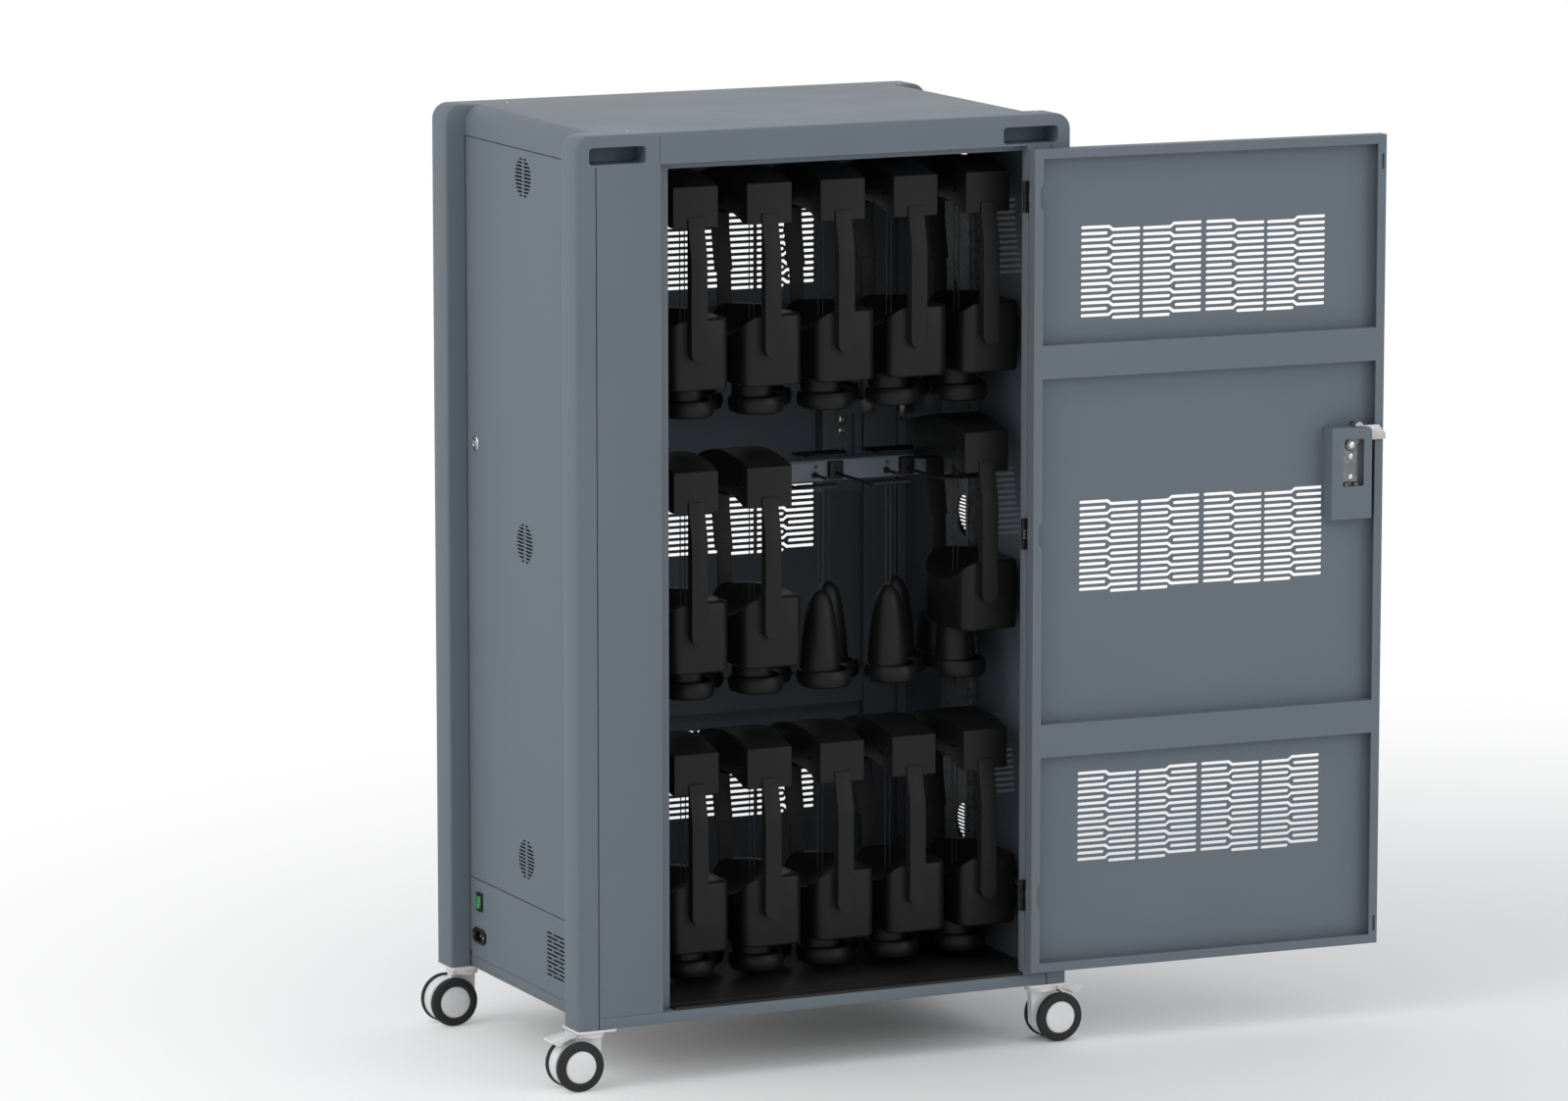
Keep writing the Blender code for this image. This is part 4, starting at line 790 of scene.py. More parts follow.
# inside: uprights on the walls, hanger rails, clips, wire arms and plates
rackSizes = {"uprightX": 0.3445, "uprightY": 0.045, "sheet": 0.003, "foldX": 0.3628, "fold": 0.0025,
             "foldLap": 0.0010, "foldClear": 0.0065, "foot": 0.1143, "ventSide": -0.0372, "ventR": 0.0335,
             "railDeep": 0.040, "railTall": 0.031, "tops": (1.3191, 0.8992, 0.4787), "drop": 0.028,
             "columnX": 0.053, "pitch": 0.119, "hangerY": -0.1275, "rearY": 0.120,
             "plate": (0.065, 0.026, 0.004), "rearWide": 0.085, "rearUp": 0.009, "railSheet": 0.0025,
             "slot": (0.0095, 0.006, 0.0125), "slotRow": 0.005,
             "uprightSlots": (1.12, 1.02, 0.62, 0.52, 0.18), "wire": 0.0026, "aside": 0.040, "peg": 0.046,
             "empty": ((1, 2), (1, 3)), "raised": {(1, 4): 0.030}}


def columnPlace(column):
    return rackSizes["columnX"] + (column - 2) * rackSizes["pitch"]


def drawLine(name, points, radius):  # round curve through the points
    curve = bpy.data.curves.new(name, "CURVE")
    curve.dimensions = "3D"
    curve.bevel_depth = radius
    curve.bevel_resolution = 2
    line = curve.splines.new("POLY")
    line.points.add(len(points) - 1)
    for point, place in zip(line.points, points):
        point.co = (*place, 1.0)
    obj = bpy.data.objects.new(name, curve)
    bpy.context.collection.objects.link(obj)
    return obj


def wirePath(name, points, radius):
    obj = drawLine(name, points, radius)
    obj.data.use_fill_caps = True
    takeUp(obj)
    bpy.ops.object.convert(target="MESH")
    return tidyMesh(bpy.context.object)


def makeUprights():
    r = rackSizes
    low, top, lap = r["foot"], cabinet["coverLow"], r["foldLap"]
    for side, x in (("left", -1), ("right", 1)):
        cols = span(x, r["uprightX"], r["uprightX"] + r["sheet"])
        holes = [arc(r["ventSide"], z, r["ventR"], range(-90, 91, 10))
                 for z in sideSizes["ventZ"] if x > 0]  # the left vents are backed by the painted-shade pads
        holes += [roundRectangle(-0.004, 0.004, z - 0.010, z + 0.010, 0.0035, 3) for z in r["uprightSlots"]]
        face = rectangle(-r["uprightY"], r["uprightY"], low, top - cabinet["gap"])
        channel = [cutPlate("upright", face, holes, *cols, "YZ")]
        seam, cols = sideSizes["seam"], span(x, r["uprightX"] + lap, r["foldX"])
        for y in (-1, 1):  # folded back to the wall, clear of the service panel's lips
            rows = span(y, r["uprightY"], r["uprightY"] - r["fold"])
            for start, end in ((low, seam - lap), (seam + r["foldClear"], top - r["foldClear"])):
                fold = addBlock("fold", (cols[0], rows[0], start), (cols[1], rows[1], end))
                channel.append(bevelEdges(fold, alongZ, 0.0006, 2))
        # the uprights take the darker zinc copy, painted shade for the cabinet's shaded inside
        finishPiece(joinAll("upright", channel), "upright_%s_sheet" % side, "cabinet", "shadedUprightZinc",
                    ["upright_" + side])


def makeRack():
    r, h = rackSizes, headsetSizes
    reach = r["uprightX"] - cabinet["gap"]
    clip = makeClip()
    for row, top in enumerate(r["tops"]):
        z1 = top - r["drop"]
        z0 = z1 - r["railTall"]
        half = r["railDeep"] / 2
        walls = [addBlock("rail", (-reach, -half, z1 - r["railSheet"]), (reach, half, z1))]
        for y in (-1, 1):
            rows = span(y, half, half - r["railSheet"])
            holes = [circle(columnPlace(c) + 0.048, z1 - 0.009, 0.0024, 14) for c in range(5)]
            walls.append(cutPlate("railWall", rectangle(-reach, reach, z0, z1 - 0.0012), holes, *rows,
                                  "XZ"))
        rail = joinAll("rail", walls)
        bevelEdges(rail, lambda a, b: min(a.z, b.z) > z1 - close and abs(a.y - b.y) < same, 0.0012, 2)
        finishPiece(rail, "hangerRail%d" % (row + 1), "cabinet", "slatePaint",
                    ["hanger_rail_%d" % (row + 1)])
        crown = top - h["tall"] + h["arch"] * (1 - h["flat"] ** 2) - cabinet["gap"]  # under the pack's arch
        hangers = []
        for column in range(5):
            x = columnPlace(column)
            arm = x - r["aside"]
            for end, y, wide in ((-1, r["hangerY"], r["plate"][0]), (1, r["rearY"], r["rearWide"])):
                turn = Matrix.Rotation(math.pi, 4, "Z") if end > 0 else Matrix.Identity(4)
                hangers.append(copyPiece(clip, "clip", Matrix.Translation((arm, end * half, z0)) @ turn))
                head = crown + (r["rearUp"] if end > 0 else 0.0)
                z = head - 0.0034
                path = [(arm, end * (half + 0.006), z0 + 0.012), (arm, end * (half + 0.014), z0 + 0.012),
                        (arm + 0.002, end * (half + 0.022), (z + z0 + 0.012) / 2),
                        (arm + 0.005, end * (half + 0.032), z), (arm + 0.008, y - end * 0.006, z),
                        (arm + 0.010, y, z)]
                hangers.append(wirePath("arm", path, r["wire"]))
                side, deep, (long, tall, pitch) = x - wide / 2, r["plate"][1] / 2, r["slot"]
                ring = roundRectangle(side, x + wide / 2, y - deep, y + deep, 0.006, 4)
                holes = [circle(x, y, 0.0032, 12)]
                if end > 0:  # the rear plates have two rows of slots instead
                    starts = [side + 0.006 + pitch * i for i in range(6)]
                    holes = [roundRectangle(s, s + long, y + dy - tall / 2, y + dy + tall / 2, 0.002, 2)
                             for s in starts for dy in (-r["slotRow"], r["slotRow"])]
                plate = cutPlate("plate", ring, holes, head - r["plate"][2], head - 0.0005, "XY")
                bevelEdges(plate, lambda a, b: min(a.z, b.z) > head - 0.0006
                           and max(abs(a.y - y), abs(b.y - y)) > deep - 0.004, 0.0009, 1)
                hangers.append(plate)
            if (row, column) in r["raised"]:
                stem = addBlock("stem", (x - 0.012, r["hangerY"] - 0.010, crown - 0.001),
                                (x + 0.012, r["hangerY"] + 0.010,
                                 crown + r["raised"][row, column] - 0.0005))
                hangers.append(bevelEdges(stem, alongZ, 0.003, 3))
            if (row, column) in r["empty"]:
                peg = x + r["peg"]
                path = [(peg, -half - 0.0001, crown - 0.003), (peg, -half - 0.040, crown - 0.003),
                        (peg, -half - 0.0445, crown - 0.0012)]
                hangers.append(wirePath("peg", path, r["wire"]))
                nut = (peg, -half - 0.0021, crown - 0.003)
                hangers.append(roundRod("pegNut", nut, "Y", 0.0052, 0.004, 0.0008, 6))
        finishPiece(joinAll("hangers", hangers), "hangers%d" % (row + 1), "cabinet", "blackPlastic")
    dropAll(clip)


def makeClip():  # clamp on the rail's face with two bolt heads, foot at z 0
    clip = addBlock("clip", (-0.0115, -0.009, 0.002), (0.0115, -0.0001, 0.029))
    bevelEdges(clip, lambda a, b: alongY(a, b) or max(a.y, b.y) < -0.0089, 0.0018, 2)
    bolts = [roundRod("bolt", (0, -0.0098, z), "Y", 0.0038, 0.0024, 0.0006, 6) for z in (0.009, 0.022)]
    return joinAll("clip", [clip] + bolts)


# stored headsets: arched rear pack over the hanger plate, two straps, hollow visor below
headsetSizes = {"near": -0.215, "far": -0.040, "wide": 0.073, "tall": 0.060, "arch": 0.015, "flat": 0.25,
                "strap": 0.026, "strapProud": 0.014, "strapEnd": 0.2555, "visorWide": 0.097,
                "visorTall": 0.105, "visorDrop": 0.1955, "visorAside": 0.0088, "visorFar": -0.055,
                "nearRound": 0.020, "farRound": 0.046, "bowl": 0.012, "dip": 0.035, "dipRound": 0.15,
                "dipTilt": 20.0}


def visorRing(side, ends):  # outline drawn in from the visor's own, tighter corners towards the door
    h = headsetSizes
    x0, x1 = h["visorAside"] - h["visorWide"] / 2 + side, h["visorAside"] + h["visorWide"] / 2 - side
    y0, y1 = h["near"] + ends, h["visorFar"] - ends
    near, far = h["nearRound"] - side, h["farRound"] - side
    ring = []
    for cx, cy, radius, start in ((x0 + near, y0 + near, near, 180), (x1 - near, y0 + near, near, 270),
                                  (x1 - far, y1 - far, far, 0), (x0 + far, y1 - far, far, 90)):
        ring += arc(cx, cy, radius, range(start, start + 91, 10))
    return ring


def makeHeadset():  # top edge at z 0, column centre at x 0
    h = headsetSizes
    near, far = h["near"], h["far"]
    middle, half = (near + far) / 2, (far - near) / 2
    arch = [(middle + half * t / 12, h["arch"] * (1 - (t / 12) ** 2)) for t in range(-12, 13)]
    leg = half - 0.015
    under = [(middle - leg * t / 10, -h["tall"] + h["arch"] * (1 - max(abs(t / 10), h["flat"]) ** 2))
             for t in range(-10, 11)]
    ring = arch + [(far, -h["tall"])] + under + [(near, -h["tall"])]
    pack = cutPlate("pack", ring, [], -h["wide"] / 2, h["wide"] / 2, "YZ", 0.0022)
    port = addBlock("portTool", (-h["wide"] / 2 - 0.01, near + 0.030, -0.030),
                    (-h["wide"] / 2 + 0.003, near + 0.044, -0.026))
    cutWith(pack, port)
    foot = -h["visorDrop"] - h["visorTall"]
    visor = cutPlate("visor", visorRing(0, 0), [], foot, -h["visorDrop"], "XY", 0.0045)
    bowl = [(min(px, h["bowl"]), py) for px, py in visorRing(0.006, 0.016)]
    # no doubled points
    bowl = [p for i, p in enumerate(bowl) if (Vector(p) - Vector(bowl[i - 1])).length > 1e-4]
    cutWith(visor, cutPlate("hollow", bowl, [], foot + 0.030, -h["visorDrop"] + 0.02, "XY", 0.004))
    tilt = math.radians(h["dipTilt"])
    dip = addRod("dipTool", (0, 0, 0), "X", h["dipRound"], 0.4, 96)
    place = Vector((h["visorAside"] - h["visorWide"] / 2, (near + h["visorFar"]) / 2 + 0.003,
                    -h["visorDrop"] - h["dip"] + h["dipRound"] / math.cos(tilt)))
    dip.data.transform(Matrix.Translation(place) @ Matrix.Rotation(-tilt, 4, "Y"))
    cutWith(visor, dip)
    reach, out = h["strap"] / 2, near - h["strapProud"]
    side = [(near + 0.0015, -0.045)]
    for i in range(9):  # leaves the pack flush, stands off by the first third
        t = i / 8
        side.append((near - 0.0025 - (h["strapProud"] - 0.0025) * t * t * (3 - 2 * t), -0.045 - 0.070 * t))
    side += [(out, -h["strapEnd"]), (near + 0.0015, -h["strapEnd"])]
    nearStrap = cutPlate("strap", side, [], -reach, reach, "YZ", 0.0009)
    middleTip = -h["strapEnd"] + reach
    ring = [(-0.05, middleTip - 0.04), (0.05, middleTip - 0.04), (0.05, middleTip)]
    ring += arc(0, middleTip, reach, [-180 * i / 16 for i in range(17)]) + [(-0.05, middleTip)]
    tip = cutPlate("tip", ring, [], out - 0.02, near + 0.02, "XZ")
    cutWith(nearStrap, tip)
    rear = h["visorFar"]
    upper = cutPlate("strap", [(far - 0.0015, -0.045), (far + 0.0015, -0.045), (far + 0.0005, -0.090),
                               (rear + 0.0045, -0.147), (rear + 0.0010, -0.147), (far - 0.0025, -0.090)],
                     [], -0.0145, 0.0145, "YZ", 0.0007)
    lower = cutPlate("strap", [(rear + 0.0050, -0.138), (rear + 0.0020, -0.170), (rear + 0.0010, -0.245),
                               (rear - 0.0030, -0.245), (rear - 0.0015, -0.170), (rear + 0.0016, -0.138)],
                     [], -0.0112, 0.0112, "YZ", 0.0007)
    straps = joinAll("straps", [nearStrap, upper, lower])
    return joinAll("headset", [pack, visor]), straps


# hand controllers: tapered grip standing in an open ring, hung by a cord loop
controllerSizes = {"x": 0.0575, "pitch": 0.1125, "y": -0.1275, "second": (0.0445, 0.0675),
                   "byWall": (0.0128, 0.0910), "foot": 0.3495, "aside": 0.0067, "cordWide": 0.0076,
                   "cord": 0.0018, "plateDrop": 0.0503, "pegDrop": 0.0520, "loopIn": 0.050,
                   "loopUp": 0.1478, "grip": [(0.0, 0.010), (0.021, 0.010), (0.0278, 0.0125),
                                              (0.0303, 0.020), (0.0304, 0.032), (0.0298, 0.046),
                                              (0.0286, 0.061), (0.0270, 0.076), (0.0250, 0.092),
                                              (0.0226, 0.109), (0.0198, 0.122), (0.0158, 0.1335),
                                              (0.0098, 0.1408), (0.0042, 0.1438), (0.0, 0.1446)],
                   "band": [(0.0300, 0.0040), (0.0335, 0.0008), (0.0365, 0.0), (0.0395, 0.0022),
                            (0.0412, 0.0070), (0.0416, 0.0135), (0.0406, 0.0200), (0.0384, 0.0247),
                            (0.0356, 0.0262), (0.0330, 0.0250), (0.0318, 0.0215), (0.0322, 0.0140),
                            (0.0312, 0.0085), (0.0300, 0.0040)]}


def makeController():  # foot of the ring at z 0, grip's axis at x 0
    c = controllerSizes
    grip = spinProfile("grip", c["grip"], (0, 0, 0), "Z", 28)
    applyModifier(grip, "SUBSURF", levels=1, render_levels=1)
    ring = spinProfile("ring", c["band"], (c["aside"], 0, 0), "Z", 44)
    sole = addRod("sole", (c["aside"], 0, 0.0065), "Z", 0.0315, 0.005, 32)
    lug = roundRod("lug", (0, 0, 0.1452), "Y", 0.0036, 0.004, 0.001, 16)
    return joinAll("controller", [grip, ring, sole, lug])


# the grip's top is inside the visor above, so only what hangs below is kept
def cutGrip(controller, height):
    piece = copyPiece(controller, "cutController")
    takeUp(piece)
    bpy.ops.object.mode_set(mode="EDIT")
    bpy.ops.mesh.select_all(action="SELECT")
    bpy.ops.mesh.bisect(plane_co=(0, 0, height), plane_no=(0, 0, 1), use_fill=True, clear_outer=True)
    bpy.ops.object.mode_set(mode="OBJECT")
    return piece


def controllerPlaces(row, column):
    c = controllerSizes
    x, foot = c["x"] + (column - 2) * c["pitch"], rackSizes["tops"][row] - c["foot"]
    # the last pair stands clear of the right wall
    aside, back = c["byWall"] if column == 4 else c["second"]
    return [(x, c["y"], foot), (x + aside, c["y"] + back, foot)]


def makeCord(name, x, y, top, foot):
    c = controllerSizes
    half = c["cordWide"] / 2
    points = [Vector((x - half, y, top - (top - foot - half) * i / 8)) for i in range(9)]
    points += [Vector((x - half * math.cos(math.pi * i / 10), y,
                       foot + half - half * math.sin(math.pi * i / 10))) for i in range(1, 10)]
    points += [Vector((x + half, y, foot + half + (top - foot - half) * i / 8)) for i in range(9)]
    points = [p + cartPlace for p in points]
    obj = drawLine(name, points, c["cord"] / 2)
    obj.data.materials.append(finishes["cordGrey"])
    length = sum((b - a).length for a, b in zip(points, points[1:]))
    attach(obj, "cabinet")
    return length


def makeStores():
    shell, straps = makeHeadset()
    controller = makeController()
    c, under = controllerSizes, headsetSizes["visorDrop"] + headsetSizes["visorTall"]
    count, lengths = 0, []
    for row, top in enumerate(rackSizes["tops"]):
        for column in range(5):
            x, tag = columnPlace(column), "%d_%d" % (row + 1, column + 1)
            lift = rackSizes["raised"].get((row, column), 0.0)
            loaded = (row, column) not in rackSizes["empty"]
            if loaded:
                move = Matrix.Translation((x, 0, top + lift))
                finishPiece(copyPiece(shell, "shell", move), "headset_%s_shell" % tag, "cabinet",
                            "headsetShell", ["headset_" + tag])
                finishPiece(copyPiece(straps, "straps", move), "headset_%s_straps" % tag, "cabinet",
                            "strapRubber")
            for number, place in enumerate(controllerPlaces(row, column)):
                name = "%s_%d" % (tag, number + 1)
                if loaded:
                    piece = cutGrip(controller, c["foot"] - under + lift - 0.0005)
                else:
                    piece = copyPiece(controller, "controller")
                piece.data.transform(Matrix.Translation(place))
                finishPiece(piece, "controller_" + name, "cabinet", "headsetShell")
                count += 1
                hook, drop = place[0], c["plateDrop"]
                if number:
                    hook, drop = x + rackSizes["peg"], c["pegDrop"]
                if loaded:  # the loop ends inside the visor
                    low = top + lift - headsetSizes["visorDrop"] - c["loopIn"]
                else:
                    low = place[2] + c["loopUp"]
                if number == 0 or not loaded:
                    lengths.append(makeCord("cord_" + name, hook, place[1], top - drop, low))
    print("cord loops", len(lengths), "from", round(min(lengths), 4), "to", round(max(lengths), 4), "m")
    dropAll(shell, straps, controller)
    print("stored sets placed, controllers:", count)


# doors, modelled once in the closed front place: pan with three vent fields, lock box, latch, lever
doorSizes = {"x0": -0.262, "x1": 0.3175, "z0": 0.1171, "z1": 1.3575, "deep": 0.022, "sheet": 0.0025,
             "lip": 0.014, "stiffZ": (1.0406, 0.4698), "stiffTall": 0.050, "ventZ": (1.168, 0.756, 0.3445),
             "ventU": (0.084, 0.488), "notch": (0.020, 0.005, 0.006), "drain": (0.004, 0.008, 0.012),
             "drainZ": (1.317, 0.1485), "stiffSheet": 0.0025, "stiffEnd": 0.006, "lap": 0.0002,
             "edge": 0.0009}
ventSizes = {"rows": 15, "pitch": 0.0094, "slot": 0.0048, "gaps": (0.0033, 0.0062, 0.0033),
             "jog": (0.475, 0.535), "shorts": (0.455, 0.525)}
lockSizes = {"u": (0.4886, 0.556), "z": (0.777, 0.917), "proud": 0.030, "window": (0.0187, 0.054),
             "windowZ": (0.827, 0.899), "spindleU": 0.536, "spindleZ": 0.9175, "tongueZ": (0.896, 0.9188),
             "tongueTip": 0.0440, "chamfer": (0.012, 0.0135), "tongueDeep": (0.0068, 0.0038),
             "boss": 0.0068, "lever": 0.105, "hole": 0.0044, "spindle": (0.0024, 0.010),
             "leverTop": (0.012, 0.0068, 0.0088), "leverFoot": 0.0070, "leverDeep": (0.022, 0.0103),
             "corner": 0.008, "sheet": 0.003, "worksDeep": 0.0105, "works": (0.0474, 0.0035, 0.056, 0.126),
             "worksSheet": 0.0025, "cam": (0.0362, 0.1123, 0.0087, 0.0102), "camThick": 0.0024,
             "camArm": (0.0559, 0.1345, 0.1260), "feet": (0.0285, 0.0445),
             "screws": ((0.1123, 0.0053), (0.0947, 0.0047), (0.063, 0.0044)),
             "rose": [(0.0046, -0.0104), (0.0115, -0.0104), (0.0125, -0.0085), (0.0130, -0.0015),
                      (0.0130, -0.0006), (0.0046, -0.0006), (0.0046, -0.0104)]}
hingeSizes = {"z": (1.286, 0.7815, 0.233), "length": 0.047, "r": 0.0035, "pin": 0.0015, "gap": 0.0004,
              "screw": [(0.0, -0.0032), (0.0018, -0.0030), (0.0024, -0.0024), (0.0024, -0.0022),
                        (0.0, -0.0022)], "screwRise": 0.0048, "studRise": 0.0050}


def doorX(u):
    return doorSizes["x1"] - u


def ventRings(zMiddle):
    v = ventSizes
    u0, u1 = doorSizes["ventU"]
    wide = (u1 - u0 - sum(v["gaps"])) / 4
    half = v["pitch"] / 2
    rings, start = [], u0
    top = zMiddle + ((v["rows"] - 1) * v["pitch"] + half) / 2
    for column in range(4):
        def spot(share, z):
            share = share if column % 2 == 0 else 1 - share
            return (doorX(start + share * wide), z)
        end = v["slot"] / 2 / wide
        j0, j1 = v["jog"]
        for i in range(v["rows"]):
            high, low = top - i * v["pitch"], top - i * v["pitch"] - half
            if i % 3 == 0:
                rings.append([spot(end, high), spot(j0, high), spot(j1, low), spot(1 - end, low)])
            elif i % 3 == 1:
                rings.append([spot(end, high), spot(v["shorts"][0] - end, high)])
            else:
                rings.append([spot(end, high), spot(j0, high), spot(j1, high + half),
                              spot(1 - end, high + half)])
                rings.append([spot(v["shorts"][1] + end, low), spot(1 - end, low)])
        start += wide + (v["gaps"][column] if column < 3 else 0)
    return [slotRing(ring, v["slot"]) for ring in rings]


def makeDoorPan():
    d = doorSizes
    face = -cabinet["deep"]
    back, skin, lip = face + d["deep"], face + d["sheet"], d["lip"]
    holes = [ring for z in d["ventZ"] for ring in ventRings(z)]
    holes.append(circle(doorX(lockSizes["spindleU"]), lockSizes["spindleZ"], lockSizes["hole"], 16))
    outline = rectangle(d["x0"], d["x1"], d["z0"], d["z1"])
    pieces = [cutPlate("skin", outline, holes, face, skin, "XZ")]
    inner = rectangle(d["x0"] + d["sheet"], d["x1"] - d["sheet"], d["z0"] + d["sheet"],
                      d["z1"] - d["sheet"])
    pieces.append(cutPlate("walls", outline, [inner], skin, back - d["sheet"], "XZ"))
    high, low = d["stiffZ"]
    tall = d["stiffTall"] / 2
    notchTall, notchDeep, slope = d["notch"]
    x0, x1 = d["x0"] + lip, d["x1"] - lip
    windows = []
    for z0, z1 in ((high + tall, d["z1"] - lip), (low + tall, high - tall), (d["z0"] + lip, low - tall)):
        ring = [(x0, z0), (x1, z0)]
        for z in sorted(hingeSizes["z"]):
            if z0 < z < z1:
                ring += [(x1, z - notchTall), (x1 + notchDeep, z - notchTall + slope),
                         (x1 + notchDeep, z + notchTall - slope), (x1, z + notchTall)]
        ring += [(x1, z1), (x0, z1)]
        windows.append(ring)
    near, far, half = d["drain"]
    small = [roundRectangle(d["x0"] + near, d["x0"] + far, z - half, z + half, 0.0018, 3)
             for z in d["drainZ"]]
    pieces.append(cutPlate("lip", outline, windows + small, back - d["sheet"], back, "XZ"))
    for z in d["stiffZ"]:
        for side in (-1, 1):
            rows = sorted((z + side * tall, z + side * (tall - d["stiffSheet"])))
            wall = addBlock("stiffWall", (d["x0"] + d["stiffEnd"], skin - d["lap"], rows[0]),
                            (d["x1"] - d["stiffEnd"], back - d["sheet"] + d["lap"], rows[1]))
            pieces.append(bevelEdges(wall, alongY, 0.0004, 1))
    pan = joinAll("pan", pieces)

    def outerEdge(a, b):  # the lip's outer corners, on the side that faces the cabinet
        atX = abs(a.x - b.x) < same and min(abs(a.x - d["x0"]), abs(a.x - d["x1"])) < close
        atZ = abs(a.z - b.z) < same and min(abs(a.z - d["z0"]), abs(a.z - d["z1"])) < close
        return min(a.y, b.y) > back - same and (atX or atZ)

    return bevelEdges(pan, outerEdge, d["edge"], 2)


def makeKnuckles():  # the door's two knuckles of each hinge, with their leaves
    s, third = hingeSizes, hingeSizes["length"] / 3
    reach, (x, y, _) = (third - s["gap"]) / 2, hingeAxis
    pieces = []
    for z in s["z"]:
        for side in (-1, 1):
            low, high = z + side * third - reach, z + side * third + reach
            bore = circle(x, y, s["pin"] + s["gap"], 14)
            pieces.append(cutPlate("barrel", circle(x, y, s["r"], 20), [bore], low, high, "XY"))
            leaf = addBlock("leaf", (doorSizes["x1"] - 0.004, y - 0.001, low),
                            (x - s["r"] + 0.0006, -cabinet["deep"] + 0.0022, high))
            pieces.append(bevelEdges(leaf, alongX, 0.0004, 1))
    return joinAll("knuckles", pieces)


def makeFrameHinge(z):  # the frame's middle knuckle with its pin and leaf
    s, third = hingeSizes, hingeSizes["length"] / 3
    face, reach, (x, y, _) = -cabinet["deep"], (third - s["gap"]) / 2, hingeAxis
    barrel = addRod("barrel", (x, y, z), "Z", s["r"], 2 * reach, 20)
    pin = roundRod("pin", (x, y, z), "Z", s["pin"], s["length"], 0.0004, 14)
    leaf = addBlock("leaf", (x, face - 0.0023, z - reach),
                    (cabinet["right"] + 0.011, face - cabinet["gap"], z + reach))
    bevelEdges(leaf, lambda a, b: alongY(a, b) and a.x > cabinet["right"] or max(a.y, b.y) < face - 0.0022,
               0.0007, 2)
    return joinAll("hinge", [barrel, pin, leaf])


def makeHingeScrews(z):  # three on the leaf
    s, face = hingeSizes, -cabinet["deep"]
    screws = [spinProfile("screw", s["screw"], (cabinet["right"] + 0.0045, face, z + step * s["screwRise"]),
                          "Y", 14) for step in (-1, 0, 1)]
    if z == s["z"][1]:  # the middle hinge also shows studs on its barrel
        screws += [addRod("stud", (hingeAxis.x, hingeAxis.y - s["r"], z + step * s["studRise"]), "Y",
                          0.0017, 0.0010, 14) for step in (-1, 0, 1)]
    return joinAll("screws", screws)


